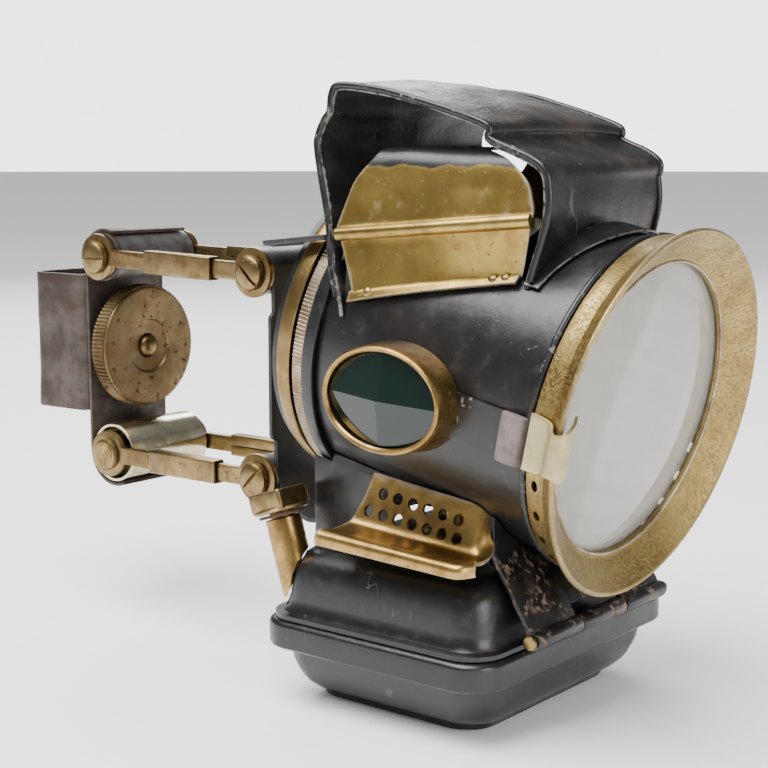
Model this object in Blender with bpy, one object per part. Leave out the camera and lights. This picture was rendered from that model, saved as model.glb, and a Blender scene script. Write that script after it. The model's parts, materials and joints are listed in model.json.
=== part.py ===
"""Bicycle oil headlamp: japanned body, brass bezel door, hinged oil fount and
parallel spring bracket, modelled as separate pieces that move on real axes.

All dimensions below are millimetres; meshes are written in metres.
The lamp faces -Y and stands on the foot of its fount, whose centre is the origin.
"""

import math

import bmesh
import bpy
from mathutils import Matrix, Vector

for item in list(bpy.data.objects):
    bpy.data.objects.remove(item, do_unlink=True)

MM = 0.001
GAP = 0.3                 # clearance kept between neighbouring pieces
SHEET = 1.0               # japanned sheet thickness

# barrel: its axis leans nose-down and passes through AXIS_POINT
TILT = math.radians(11.87)
AXIS_POINT = (0.0, 8.8, 79.4)
BARREL_R = 35.4
BARREL_WALL = 0.9
BARREL_REAR = -18.0
BARREL_FRONT = 53.4
ENVELOPE_R = BARREL_R + GAP

# fount: rounded rectangles given as half width, y centre, half depth, corner radius
BAND_HALF = (39.2, 31.0)
BAND_Y = -1.0
BAND_Z = (12.55, 18.8)
FOOT_HALF = (27.8, 22.5)
SHELL_TOP = 34.5
HINGE_Y, HINGE_Z = -35.6, 22.35
HINGE_HALF = 26.3
BURNER = (0.0, -1.0)
WINDER_Z = 41.4

# filler leans back from the rear starboard corner of the fount
FILLER_FOOT = (-31.0, 24.6, 28.3)
FILLER_LEAN = math.radians(18)
FILLER_R = 4.1
FILLER_LENGTH = 12.5

# bezel door
DOOR_HINGE = (41.0, 52.2)     # port side, forward distance along the barrel
RIM_R = 40.0
APERTURE_R = 31.6

# spring bracket pivots (y, z)
UPPER_INNER = (51.8, 93.1)
LOWER_INNER = (51.1, 43.5)
UPPER_OUTER = (106.4, 94.5)
LOWER_OUTER = (104.2, 43.3)
PIN_R = 2.8
ROLL_BORE = 4.2           # the plate's rolled edges are tubes of sheet round the pins
LINK_X = (14.05, 15.65)
CLAMP_Z = 70.3

JEWEL_Y, JEWEL_Z = -8.2, 71.6
JEWEL_TILT = math.radians(4)


def finish(name, colour, roughness, metallic):
    material = bpy.data.materials.new(name)
    material.use_nodes = True
    shader = material.node_tree.nodes["Principled BSDF"]
    shader.inputs["Base Color"].default_value = (*colour, 1.0)
    shader.inputs["Roughness"].default_value = roughness
    shader.inputs["Metallic"].default_value = metallic
    return material


JAPAN = finish("black_japan", (0.02, 0.02, 0.022), 0.35, 0.0)
BRASS = finish("aged_brass", (0.36, 0.27, 0.12), 0.4, 1.0)
STEEL = finish("brown_steel", (0.17, 0.14, 0.12), 0.55, 1.0)
NICKEL = finish("nickel_plate", (0.72, 0.68, 0.52), 0.25, 1.0)
SILVER = finish("silvered", (0.85, 0.85, 0.83), 0.12, 1.0)
CLEAR = finish("clear_glass", (0.85, 0.84, 0.8), 0.05, 0.0)
GREEN = finish("green_glass", (0.01, 0.09, 0.05), 0.05, 0.0)
RED = finish("red_glass", (0.3, 0.01, 0.01), 0.05, 0.0)
COTTON = finish("cotton_wick", (0.8, 0.76, 0.66), 0.9, 0.0)
LEATHER = finish("leather_washer", (0.24, 0.14, 0.07), 0.8, 0.0)

# local frames: z runs forward along the barrel, or across the lamp
ALONG_BARREL = (math.radians(90) + TILT, 0.0, 0.0)
ACROSS = (math.radians(90), 0.0, math.radians(90))
BACKWARD = (math.radians(-90), 0.0, 0.0)      # local z points to +Y


def barrel_point(side, up, forward):
    """World position of a point given in the barrel's own frame."""
    x, y, z = AXIS_POINT
    return Vector((side,
                   y - up * math.sin(TILT) - forward * math.cos(TILT),
                   z + up * math.cos(TILT) - forward * math.sin(TILT)))


def finish_object(name, bm, material, location=(0, 0, 0), rotation=(0, 0, 0), closed=True):
    bmesh.ops.remove_doubles(bm, verts=bm.verts, dist=1e-3)
    bmesh.ops.dissolve_degenerate(bm, edges=bm.edges, dist=1e-3)
    if closed:
        bmesh.ops.recalc_face_normals(bm, faces=bm.faces)
    bmesh.ops.scale(bm, vec=(MM, MM, MM), verts=bm.verts)
    mesh = bpy.data.meshes.new(name)
    bm.to_mesh(mesh)
    bm.free()
    mesh.shade_smooth()
    mesh.set_sharp_from_angle(angle=math.radians(32))
    mesh.materials.append(material)
    obj = bpy.data.objects.new(name, mesh)
    obj.location = [value * MM for value in location]
    obj.rotation_euler = rotation
    bpy.context.collection.objects.link(obj)
    return obj


def arc(centre, radius, start, end, steps):
    """Points on a circle, angles in degrees."""
    points = []
    for index in range(steps + 1):
        angle = math.radians(start + (end - start) * index / steps)
        points.append((centre[0] + radius * math.cos(angle), centre[1] + radius * math.sin(angle)))
    return points


def turned(name, profile, material, location, rotation, steps=40):
    """Solid of revolution about local z from (radius, height) points."""
    bm = bmesh.new()
    verts = [bm.verts.new((radius, 0, height)) for radius, height in profile]
    ring = verts if profile[0][0] == 0 else verts + verts[:1]
    edges = [bm.edges.new(pair) for pair in zip(ring, ring[1:])]
    bmesh.ops.spin(bm, geom=verts + edges, cent=(0, 0, 0), axis=(0, 0, 1),
                   angle=math.tau, steps=steps, use_duplicate=False)
    return finish_object(name, bm, material, location, rotation)


def extruded(name, outline, low, high, material, location=(0, 0, 0), rotation=(0, 0, 0)):
    """Outline in local x, y pushed along local z from low to high."""
    bm = bmesh.new()
    face = bm.faces.new([bm.verts.new((x, y, low)) for x, y in outline])
    pushed = bmesh.ops.extrude_face_region(bm, geom=[face])
    tops = [part for part in pushed["geom"] if isinstance(part, bmesh.types.BMVert)]
    bmesh.ops.translate(bm, vec=(0, 0, high - low), verts=tops)
    return finish_object(name, bm, material, location, rotation)


def box(name, low, high, material):
    outline = [(low[0], low[1]), (high[0], low[1]), (high[0], high[1]), (low[0], high[1])]
    return extruded(name, outline, low[2], high[2], material)


def sheet(name, rows, thickness, material):
    """Grid of points skinned and thickened on the side its faces turn away from."""
    bm = bmesh.new()
    grid = [[bm.verts.new(point) for point in row] for row in rows]
    for upper, lower in zip(grid, grid[1:]):
        for index in range(len(upper) - 1):
            bm.faces.new((upper[index], lower[index], lower[index + 1], upper[index + 1]))
    obj = finish_object(name, bm, material, closed=False)
    solidify = obj.modifiers.new("thickness", "SOLIDIFY")
    solidify.thickness = thickness * MM
    solidify.offset = -1.0
    solidify.use_even_offset = True
    return obj


def ribbon(path, thickness):
    """Outline of a strip that follows a path with half its thickness each side."""
    left, right = [], []
    for index, point in enumerate(path):
        before = Vector(path[max(index - 1, 0)])
        after = Vector(path[min(index + 1, len(path) - 1)])
        along = (after - before).normalized()
        side = Vector((-along.y, along.x)) * thickness / 2
        left.append((point[0] + side.x, point[1] + side.y))
        right.append((point[0] - side.x, point[1] - side.y))
    return left + right[::-1]


def rounded_ring(half_x, half_y, radius, z, centre_y=0.0, steps=4):
    """Rounded rectangle as 3-D points, anticlockwise from the port rear corner."""
    points = []
    corners = ((1, 1, 0), (-1, 1, 90), (-1, -1, 180), (1, -1, 270))
    for sign_x, sign_y, start in corners:
        centre = (sign_x * (half_x - radius), centre_y + sign_y * (half_y - radius))
        points += [(x, y, z) for x, y in arc(centre, radius, start, start + 90, steps)]
    return points


def lofted(name, sections, material, capped):
    """Skin between closed sections; capped ends, or the last joined to the first."""
    bm = bmesh.new()
    rings = [[bm.verts.new(point) for point in section] for section in sections]
    pairs = list(zip(rings, rings[1:]))
    if not capped:
        pairs.append((rings[-1], rings[0]))
    count = len(rings[0])
    for lower, upper in pairs:
        for index in range(count):
            following = (index + 1) % count
            bm.faces.new((lower[index], lower[following], upper[following], upper[index]))
    if capped:
        bm.faces.new(rings[0])
        bm.faces.new(rings[-1])
    return finish_object(name, bm, material)


def boolean(obj, tool, operation):
    tool.hide_render = True
    tool.display_type = "WIRE"
    modifier = obj.modifiers.new(operation.lower() + "_" + tool.name, "BOOLEAN")
    modifier.operation = operation
    modifier.object = tool


def cut(obj, tool):
    boolean(obj, tool, "DIFFERENCE")


def join(obj, tool):
    boolean(obj, tool, "UNION")


def cylinder(name, radius, low, high, location, rotation, steps=24):
    return turned(name, [(0, low), (radius, low), (radius, high), (0, high)], JAPAN,
                  location, rotation, steps)


def pivot(name, location, rotation, pieces):
    """Empty on a joint's axis that carries the moving pieces."""
    empty = bpy.data.objects.new(name, None)
    empty.location = [value * MM for value in location]
    empty.rotation_euler = rotation
    bpy.context.collection.objects.link(empty)
    bpy.context.view_layer.update()
    for piece in pieces:
        piece.parent = empty
        piece.matrix_parent_inverse = empty.matrix_world.inverted()
    return empty


# ---------------------------------------------------------------- barrel

def make_barrel():
    inner = BARREL_R - BARREL_WALL
    barrel = turned("barrel", [(inner, BARREL_REAR), (BARREL_R, BARREL_REAR),
                               (BARREL_R, BARREL_FRONT), (inner, BARREL_FRONT)],
                    JAPAN, AXIS_POINT, ALONG_BARREL, 48)
    cut(barrel, box("chimney_opening", (-20, -27, 95), (20, 6, 130), JAPAN))
    cut(barrel, box("throat_opening", (-22, -21, 25), (22, 20, 58), JAPAN))
    hole = ellipse_outline(12.6, 8.4)
    cut(barrel, extruded("jewel_openings", hole, -50, 50, JAPAN,
                         (0, JEWEL_Y, JEWEL_Z), jewel_rotation()))
    return barrel


def ellipse_outline(half_long, half_short, steps=24):
    return [(half_long * math.cos(math.tau * index / steps),
             half_short * math.sin(math.tau * index / steps)) for index in range(steps)]


def jewel_rotation():
    turn = Matrix.Rotation(JEWEL_TILT, 3, "X")
    across = Matrix(((0, 0, 1), (1, 0, 0), (0, 1, 0)))
    return (turn @ across).to_euler()


def envelope(name):
    """Solid cylinder just larger than the barrel, for trimming what sits on it."""
    return cylinder(name, ENVELOPE_R, BARREL_REAR - 6, BARREL_FRONT + 2,
                    AXIS_POINT, ALONG_BARREL, 48)


def cap_clearance(name):
    """Larger cylinder over the rear cap and its collar."""
    return cylinder(name, 37.2, -22.2, -4.9, AXIS_POINT, ALONG_BARREL, 44)


def make_jewel(side, side_name, glass):
    """Oval brass tube on the barrel's side holding a faceted glass."""
    outer = ((27.0, 15.6, 12.2), (37.0, 15.4, 11.4), (42.5, 15.1, 10.9))
    inner = ((42.5, 14.0, 9.8), (27.0, 14.0, 9.8))
    turn = Matrix.Rotation(JEWEL_TILT, 3, "X")

    def section(reach, half_long, half_short):
        points = []
        for along, up in ellipse_outline(half_long, half_short):
            place = turn @ Vector((0, along, up))
            points.append((side * reach, JEWEL_Y + place.y, JEWEL_Z + place.z))
        return points

    bezel = lofted("jewel_bezel_" + side_name, [section(*size) for size in outer + inner],
                   BRASS, capped=False)
    cut(bezel, ENVELOPE)
    glass_sections = ((37.4, 13.6, 9.4), (41.6, 13.6, 9.4), (43.4, 8.5, 3.6))
    lofted(glass, [section(*size) for size in glass_sections],
           GREEN if glass == "green_jewel" else RED, capped=True)


def make_hood():
    """Bent sheet over the chimney, open on both sides, roof falling to the front."""
    path = (   # y, z, half width, rise of the middle
        (8.2, 86.0, 34.9, 0.0), (8.8, 90.0, 34.9, 0.0), (10.4, 95.8, 34.8, 0.0),
        (13.4, 106.5, 32.4, 0.0),
        (18.3, 121.5, 30.2, 0.0), (18.4, 124.5, 30.0, 0.0), (17.0, 128.0, 29.6, 0.3),
        (15.5, 130.0, 29.4, 0.6), (15.2, 133.6, 29.1, 1.2), (13.2, 135.4, 28.6, 1.8),
        (2.6, 134.2, 28.0, 2.0), (-6.9, 131.8, 27.2, 2.0), (-15.5, 129.4, 26.6, 1.8),
        (-22.4, 127.0, 26.2, 1.2), (-23.6, 125.6, 26.1, 0.8), (-24.0, 123.8, 26.1, 0.4),
        (-33.0, 120.4, 26.0, 0.0), (-36.6, 118.0, 26.0, 0.0), (-37.7, 114.5, 26.0, 0.0),
        (-37.6, 108.3, 26.2, 0.0), (-34.2, 96.1, 26.8, 0.0), (-32.0, 88.0, 27.2, 0.0))
    rows = []
    for y, z, half, rise in path:
        row = []
        for step in range(-3, 4):
            share = step / 3
            row.append((share * half, y, z + rise * (1 - share * share)))
        rows.append(row)
    hood = sheet("hood", rows, SHEET, JAPAN)
    cut(hood, ENVELOPE)
    cut(hood, CAP_CLEARANCE)
    return hood


def make_baffle(side, side_name):
    """Brass side panel under the hood: foot on the barrel, bead, inward top."""
    foot_rear, foot_front = 17.7, 41.0          # angle round the barrel, degrees
    rows = []
    for lift in (0.0, 5.0):
        row = []
        for share in (0.0, 0.25, 0.5, 0.75, 1.0):
            angle = math.radians(foot_rear + (foot_front - foot_rear) * share + lift)
            reach = ENVELOPE_R + 0.2 + SHEET * 0.7
            forward = 0.3 + 35.6 * share
            row.append(barrel_point(side * reach * math.cos(angle), reach * math.sin(angle), forward))
        rows.append(row)
    ends = (   # half width rear and front, y rear and front, z rear and front
        (32.3, 27.3, 9.4, -32.2, 102.5, 106.4), (33.4, 28.4, 9.9, -32.8, 104.2, 107.9),
        (32.3, 27.3, 10.4, -33.0, 106.0, 109.4), (30.4, 26.2, 7.0, -32.4, 115.5, 115.8),
        (29.2, 25.2, 3.5, -26.0, 119.6, 119.6), (26.0, 22.5, 2.4, -20.5, 121.6, 121.6),
        (15.0, 14.0, 1.4, -19.5, 121.8, 121.8))
    for x_rear, x_front, y_rear, y_front, z_rear, z_front in ends:
        row = []
        for share in (0.0, 0.25, 0.5, 0.75, 1.0):
            row.append((side * (x_rear + (x_front - x_rear) * share),
                        y_rear + (y_front - y_rear) * share,
                        z_rear + (z_front - z_rear) * share))
        rows.append(row)
    if side > 0:
        rows = [row[::-1] for row in rows]
    return sheet("heat_baffle_" + side_name, rows, 0.7, BRASS)


def make_vent(side, side_name):
    """Perforated brass air inlet: upright face, flared skirt and rolled lip."""
    profile = (   # reach from the centre, z rear, z front, y rear, y front
        (26.6, 52.6, 49.4, 5.0, -23.5), (27.8, 47.6, 45.0, 6.6, -24.2),
        (29.2, 43.2, 40.8, 8.4, -25.0), (31.4, 41.0, 38.6, 9.6, -25.8),
        (34.6, 40.0, 38.0, 10.8, -26.6), (37.6, 40.2, 38.6, 11.8, -26.9),
        (38.6, 39.2, 37.6, 12.0, -26.9), (38.2, 38.0, 36.6, 12.0, -26.9))
    rows = []
    for reach, z_rear, z_front, y_rear, y_front in profile:
        row = []
        for share in (0.0, 0.5, 1.0):
            row.append((side * reach, y_rear + (y_front - y_rear) * share,
                        z_rear + (z_front - z_rear) * share))
        rows.append(row)
    if side < 0:
        rows = [row[::-1] for row in rows]
    vent = sheet("air_vent_" + side_name, rows, 0.8, BRASS)
    cut(vent, ENVELOPE)
    return vent


def make_throat():
    """Walls between the barrel and the fount, open in front and below."""
    half, front, rear, low = 24.6, -23.5, 24.5, 36.2
    outline = [(-half, front), (-half, rear), (half, rear), (half, front),
               (half - SHEET, front), (half - SHEET, rear - SHEET),
               (SHEET - half, rear - SHEET), (SHEET - half, front)]
    throat = extruded("throat", outline, low, 62.0, JAPAN)
    cut(throat, ENVELOPE)
    cut(throat, CAP_CLEARANCE)
    window = box("throat_windows", (-40, -17, 39.5), (40, 3.5, 46.5), JAPAN)
    cut(throat, window)
    return throat


def knuckle(name, low, high, location, rotation, material):
    """Rolled hinge eye, bored for its pin by the caller."""
    return turned(name, [(0, low), (1.9, low), (1.9, high), (0, high)], material,
                  location, rotation, 12)


def make_apron():
    """Front plate from under the bezel down to the fount's hinge."""
    path = ((-25.4, 47.0), (-25.6, 39.0), (-27.4, 35.6), (-30.2, 31.4), (-34.4, 24.6),
            (HINGE_Y + 0.6, HINGE_Z + 1.1))
    apron = extruded("apron", ribbon(path, SHEET), -HINGE_HALF, HINGE_HALF, JAPAN,
                     rotation=ACROSS)
    eye_place = (0, HINGE_Y, HINGE_Z)
    join(apron, knuckle("apron_roll", -HINGE_HALF, HINGE_HALF, eye_place, ACROSS, JAPAN))
    cut(apron, cylinder("apron_bore", 1.1, -30, 30, eye_place, ACROSS, 16))
    cut(apron, box("apron_notch", (-9.3, HINGE_Y - 4, HINGE_Z - 4),
                   (9.3, HINGE_Y + 5, HINGE_Z + 4), JAPAN))
    cut(apron, ENVELOPE)
    return apron


def make_rear():
    """Fixed collar on the barrel; the cap and reflector turn together behind it."""
    turned("rear_collar", [(ENVELOPE_R, -11.2), (36.8, -11.2), (36.8, -5.2), (ENVELOPE_R, -5.2)],
           BRASS, AXIS_POINT, ALONG_BARREL, 48)
    cap = turned("rear_cap", [(0, -21.2), (36.0, -21.2), (36.7, -20.4), (36.7, -12.0),
                              (35.8, -12.0), (35.8, -20.2), (0, -20.2)],
                 BRASS, AXIS_POINT, ALONG_BARREL, 48)
    back, front = [], []
    for step in range(5):
        radius = 33.1 * step / 4
        back.append((radius, -16.4 + 10.0 * (radius / 33.1) ** 2))
        front.append((radius, -15.6 + 10.0 * (radius / 33.1) ** 2))
    profile = back + [(33.1, -19.6), (33.9, -19.6), (33.9, -5.4)] + front[::-1]
    reflector = turned("reflector", profile, SILVER, AXIS_POINT, ALONG_BARREL, 36)
    pivot("rear_cap_axis", barrel_point(0, 0, -20), ALONG_BARREL, [cap, reflector])


def make_front():
    """Bezel door with its lens, retaining ring and clip, hinged on the port side."""
    bezel = turned("front_bezel", [
        (36.0, 51.4), (36.75, 51.4), (37.3, 55.8), (39.2, 58.2), (RIM_R, 59.2), (39.6, 59.9),
        (35.4, 57.2), (32.8, 55.3), (APERTURE_R, 54.8), (31.5, 54.1), (33.6, 54.4), (36.3, 56.2)],
        BRASS, AXIS_POINT, ALONG_BARREL, 48)
    eye = barrel_point(DOOR_HINGE[0], 0, DOOR_HINGE[1])
    upright = (TILT, 0.0, 0.0)
    arm = extruded("bezel_hinge_leaf", [(37.2, 52.6), (40.2, 52.6), (40.2, 54.0), (37.2, 54.0)],
                   -3.0, 3.0, BRASS, AXIS_POINT, door_plan_rotation())
    join(arm, knuckle("bezel_eye", -3.0, 3.0, eye, upright, BRASS))
    cut(arm, cylinder("bezel_eye_bore", 1.1, -12, 12, eye, upright, 16))
    fixed = extruded("barrel_hinge_leaf",
                     [(36.1, 44.5), (37.0, 44.5), (37.0, 49.8), (40.6, 49.8), (41.4, 51.4),
                      (39.9, 51.4), (39.6, 50.7), (36.1, 50.7)],
                     -8.2, 8.2, BRASS, AXIS_POINT, door_plan_rotation())
    join(fixed, knuckle("barrel_eye", -8.2, 8.2, eye, upright, BRASS))
    cut(fixed, cylinder("barrel_eye_bore", 1.1, -12, 12, eye, upright, 16))
    cut(fixed, extruded("barrel_eye_gap", [(37.9, 49.4), (44, 49.4), (44, 56), (37.9, 56)],
                        -3.3, 3.3, BRASS, AXIS_POINT, door_plan_rotation()))
    turned("door_hinge_pin", [(0, -9.4), (1.5, -9.4), (1.5, -8.5), (0.8, -8.5), (0.8, 8.5),
                              (1.5, 8.5), (1.5, 9.4), (0, 9.4)], BRASS, eye, upright, 16)
    dome_r = 141.0
    dome = [(r, 57.3 - r * r / (2 * dome_r)) for r in (33.8, 26.0, 17.0, 8.0, 0.0)]
    lens = turned("lens", [(0, 49.9), (33.8, 49.9)] + dome, CLEAR, AXIS_POINT, ALONG_BARREL, 40)
    retainer = turned("lens_retainer", [(32.2, 48.8), (33.8, 48.8), (33.8, 49.6), (32.2, 49.6)],
                      BRASS, AXIS_POINT, ALONG_BARREL, 40)
    clip_path = [(37.8, 51.6), (38.3, 56.2), (40.9, 58.4), (41.4, 60.0), (40.4, 61.3),
                 (36.0, 60.1), (30.4, 57.1)]
    clip = extruded("bezel_clip", ribbon([(-x, z) for x, z in clip_path], 0.7), -3.4, 8.2,
                    BRASS, AXIS_POINT, door_plan_rotation())
    pivot("bezel_hinge_axis", eye, upright, [bezel, arm, lens, retainer, clip])
    lug = [(-36.1, 44.6), (-37.6, 44.4), (-38.6, 47.0), (-38.3, 50.0), (-36.1, 50.8)]
    extruded("latch_lug", lug, -1.6, 8.6, STEEL, AXIS_POINT, door_plan_rotation())


def door_plan_rotation():
    """Local x to port, y forward along the barrel, z downwards across it."""
    columns = Matrix(((1, 0, 0),
                      (0, -math.cos(TILT), math.sin(TILT)),
                      (0, -math.sin(TILT), -math.cos(TILT))))
    return columns.to_euler()


# ---------------------------------------------------------------- fount

def make_fount():
    pan = lofted("fount_pan", [
        rounded_ring(*FOOT_HALF, 7.0, 0.0), rounded_ring(28.3, 23.0, 7.2, 1.6, -0.2),
        rounded_ring(30.2, 24.4, 7.4, 2.4, -0.5), rounded_ring(32.8, 26.2, 7.6, 4.8, -0.8),
        rounded_ring(34.7, 27.6, 7.8, 9.0, BAND_Y), rounded_ring(35.2, 28.0, 7.8, 12.2, BAND_Y),
        rounded_ring(37.0, 29.2, 7.8, 12.9, BAND_Y), rounded_ring(37.0, 29.2, 7.8, 18.4, BAND_Y),
        rounded_ring(36.0, 28.2, 6.8, 18.4, BAND_Y), rounded_ring(34.4, 27.2, 6.8, 13.2, BAND_Y),
        rounded_ring(33.7, 26.6, 6.8, 9.0, BAND_Y), rounded_ring(31.8, 25.2, 6.6, 5.2, -0.8),
        rounded_ring(27.4, 22.0, 6.4, 2.6, -0.2)], JAPAN, capped=True)
    half_x, half_y = BAND_HALF
    low, high = BAND_Z
    band = lofted("fount_band", [
        rounded_ring(half_x - 0.5, half_y - 0.5, 8.0, low, BAND_Y),
        rounded_ring(half_x, half_y, 8.4, low + 0.6, BAND_Y),
        rounded_ring(half_x, half_y, 8.4, high - 0.8, BAND_Y),
        rounded_ring(half_x - 0.7, half_y - 0.7, 8.0, high, BAND_Y),
        rounded_ring(37.3, 29.5, 8.0, high, BAND_Y),
        rounded_ring(37.3, 29.5, 8.0, low, BAND_Y)], JAPAN, capped=False)
    shell = lofted("fount_shell", [
        rounded_ring(38.0, 30.0, 8.0, 19.1, BAND_Y), rounded_ring(38.0, 30.0, 8.0, 20.1, BAND_Y),
        rounded_ring(36.4, 28.5, 7.6, 20.5, BAND_Y), rounded_ring(35.7, 28.0, 7.6, 23.5, BAND_Y),
        rounded_ring(35.1, 27.4, 7.8, 28.5, BAND_Y), rounded_ring(34.2, 26.6, 8.2, 31.2, BAND_Y),
        rounded_ring(32.2, 24.8, 8.6, 33.4, BAND_Y), rounded_ring(29.6, 22.4, 8.6, SHELL_TOP, BAND_Y),
        rounded_ring(15.0, 15.0, 12.0, SHELL_TOP, BAND_Y), rounded_ring(15.0, 15.0, 12.0, 33.5, BAND_Y),
        rounded_ring(29.2, 22.0, 8.0, 33.5, BAND_Y), rounded_ring(31.5, 24.1, 8.0, 32.5, BAND_Y),
        rounded_ring(33.2, 25.6, 7.4, 30.7, BAND_Y), rounded_ring(34.1, 26.4, 7.0, 28.3, BAND_Y),
        rounded_ring(34.7, 27.0, 6.8, 23.5, BAND_Y), rounded_ring(35.2, 27.4, 6.8, 19.1, BAND_Y)],
        JAPAN, capped=False)
    leaf = extruded("fount_hinge_leaf", [
        (-34.7, 19.4), (-31.6, 20.4), (-30.3, 20.7), (-30.3, 21.6), (-32.6, 22.1), (-34.9, 23.6)],
        -8.8, 8.8, JAPAN, rotation=ACROSS)
    eye = (0, HINGE_Y, HINGE_Z)
    join(leaf, knuckle("fount_eye", -8.8, 8.8, eye, ACROSS, JAPAN))
    cut(leaf, cylinder("fount_eye_bore", 1.1, -12, 12, eye, ACROSS, 16))
    head = HINGE_HALF + 0.3
    turned("fount_hinge_pin", [
        (0, -head - 1.1), (1.5, -head - 1.1), (1.5, -head), (0.8, -head), (0.8, head),
        (1.5, head), (1.5, head + 1.1), (0, head + 1.1)], BRASS, eye, ACROSS, 16)
    return [pan, band, shell, leaf]


def make_filler():
    lean = (-FILLER_LEAN, 0.0, 0.0)
    shell_form = lofted("fount_form", [
        rounded_ring(38.6, 30.6, 8.4, 16.0, BAND_Y), rounded_ring(38.6, 30.6, 8.4, 20.6, BAND_Y),
        rounded_ring(36.2, 28.5, 7.8, 23.5, BAND_Y), rounded_ring(35.5, 27.8, 7.8, 28.6, BAND_Y),
        rounded_ring(34.6, 27.0, 8.2, 31.4, BAND_Y), rounded_ring(32.6, 25.2, 8.6, 33.8, BAND_Y),
        rounded_ring(29.6, 22.4, 8.6, SHELL_TOP + GAP, BAND_Y)], JAPAN, capped=True)
    inner = FILLER_R - 0.8
    tube = turned("filler_tube", [(inner, -9.0), (FILLER_R, -9.0), (FILLER_R, FILLER_LENGTH),
                                  (inner, FILLER_LENGTH)], BRASS, FILLER_FOOT, lean, 24)
    cut(tube, shell_form)
    shell_hole = cylinder("filler_hole", FILLER_R - 0.3, -7.0, 9.0, FILLER_FOOT, lean, 20)
    washer = turned("filler_washer", [(inner + 0.3, FILLER_LENGTH + GAP), (5.4, FILLER_LENGTH + GAP),
                                      (5.4, FILLER_LENGTH + 1.0), (inner + 0.3, FILLER_LENGTH + 1.0)],
                    LEATHER, FILLER_FOOT, lean, 24)
    seat = FILLER_LENGTH + 1.3
    cap = turned("filler_cap", [(0, seat - 3.6), (inner - 0.4, seat - 3.6), (inner - 0.4, seat),
                                (6.0, seat), (6.3, seat + 0.9), (0, seat + 0.9)],
                 BRASS, FILLER_FOOT, lean, 24)
    square = [(x, y) for x, y, _ in rounded_ring(4.9, 4.9, 0.8, 0.0, steps=2)]
    join(cap, extruded("filler_cap_square", square, seat + 0.5, seat + 5.0, BRASS,
                       FILLER_FOOT, lean))
    pivot("filler_axis", FILLER_FOOT, lean, [cap, washer])
    return tube, shell_hole


def make_burner():
    x, y = BURNER
    place = (x, y, 0.0)
    ring = turned("burner_ring", [
        (0, 34.8), (16.0, 34.8), (16.0, 36.0), (9.5, 36.2), (8.5, 38.4), (0, 38.4)],
        BRASS, place, (0, 0, 0), 24)
    ear = box("burner_ear", (9.6, y + 1.6, 35.4), (10.8, y + 5.6, WINDER_Z + 1.9), BRASS)
    join(ring, ear)
    cut(ring, box("wick_tube_slot", (-7.6, y - 2.2, 30), (7.6, y + 2.2, 44), BRASS))
    cut(ring, cylinder("ear_bore", 1.1, 4, 16, (0, y + 3.6, WINDER_Z), ACROSS, 12))
    tube_outer = [(x + px, y + py) for px, py, _ in rounded_ring(7.2, 1.8, 1.0, 0, steps=2)]
    tube = extruded("wick_tube", tube_outer, 30.0, 52.0, BRASS)
    cut(tube, box("wick_tube_bore", (-6.4, y - 1.1, 25), (6.4, y + 1.1, 60), BRASS))
    wick = box("wick", (-5.9, y - 0.7, 7.0), (5.9, y + 0.7, 53.2), COTTON)
    spindle = turned("wick_spindle", [
        (0, -5.5), (1.5, -5.5), (1.5, -1.5), (0.8, -1.5), (0.8, 11.4), (4.2, 11.4), (4.6, 12.0),
        (4.6, 14.6), (4.2, 15.2), (0, 15.2)], BRASS, (0, y + 3.6, WINDER_Z), ACROSS, 20)
    pivot("wick_axis", (0, y + 3.6, WINDER_Z), ACROSS, [spindle])
    return [ring, tube, wick]


# ---------------------------------------------------------------- spring bracket

def make_back_plate():
    """Black plate behind the lamp, rolled at top and bottom round the link pins."""
    y_top, z_top = UPPER_INNER
    y_low, z_low = LOWER_INNER
    path = [(y_top - 4.7, z_top + 1.1), (y_low - 4.7, z_low + 0.7), (y_low - 8.2, z_low - 6.0), (36.0, 34.8),
            (28.4, 37.2), (25.5, 39.6)]
    plate = extruded("back_plate", ribbon(path, 1.2), -13.6, 13.6, JAPAN, rotation=ACROSS)
    wing = box("back_plate_wing", (-15.3, y_low - 5.1, 53.0), (15.3, y_low - 4.0, 84.0), JAPAN)
    join(plate, wing)
    for name, centre in (("upper_roll", UPPER_INNER), ("lower_roll", LOWER_INNER)):
        join(plate, cylinder(name, 5.4, -13.6, 13.6, (0, *centre), ACROSS, 20))
    for name, centre in (("upper_roll_bore", UPPER_INNER), ("lower_roll_bore", LOWER_INNER)):
        cut(plate, cylinder(name, ROLL_BORE, -20, 20, (0, *centre), ACROSS, 14))
    return plate


def make_fork():
    """Top gusset: spreads from the rolled edge to both sides of the rear cap."""
    half = [(13.4, 47.4), (20.5, 40.5), (35.6, 29.5), (34.0, 13.2), (30.4, 13.2), (31.9, 27.4),
            (21.0, 29.4)]
    outline = [(-x, y) for x, y in half] + [(x, y) for x, y in half[::-1]]
    slope = math.atan2(3.4, 31.0)      # rises towards the lamp
    fork = extruded("bracket_fork", [(x, y - 47.4) for x, y in outline], 0.0, 1.2, JAPAN,
                    (0, 47.4, 99.2), (-slope, 0, 0))
    cut(fork, CAP_CLEARANCE)
    return fork


def link_outline(start, end, radius, half_width):
    """Flat link with a round eye at each end, in (y, z)."""
    start, end = Vector(start), Vector(end)
    along = end - start
    heading = math.degrees(math.atan2(along.y, along.x))
    open_angle = math.degrees(math.asin(half_width / radius))
    outline = arc(start, radius, heading + open_angle, heading + 360 - open_angle, 12)
    outline += arc(end, radius, heading - 180 + open_angle, heading + 180 - open_angle, 12)
    return outline


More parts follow.
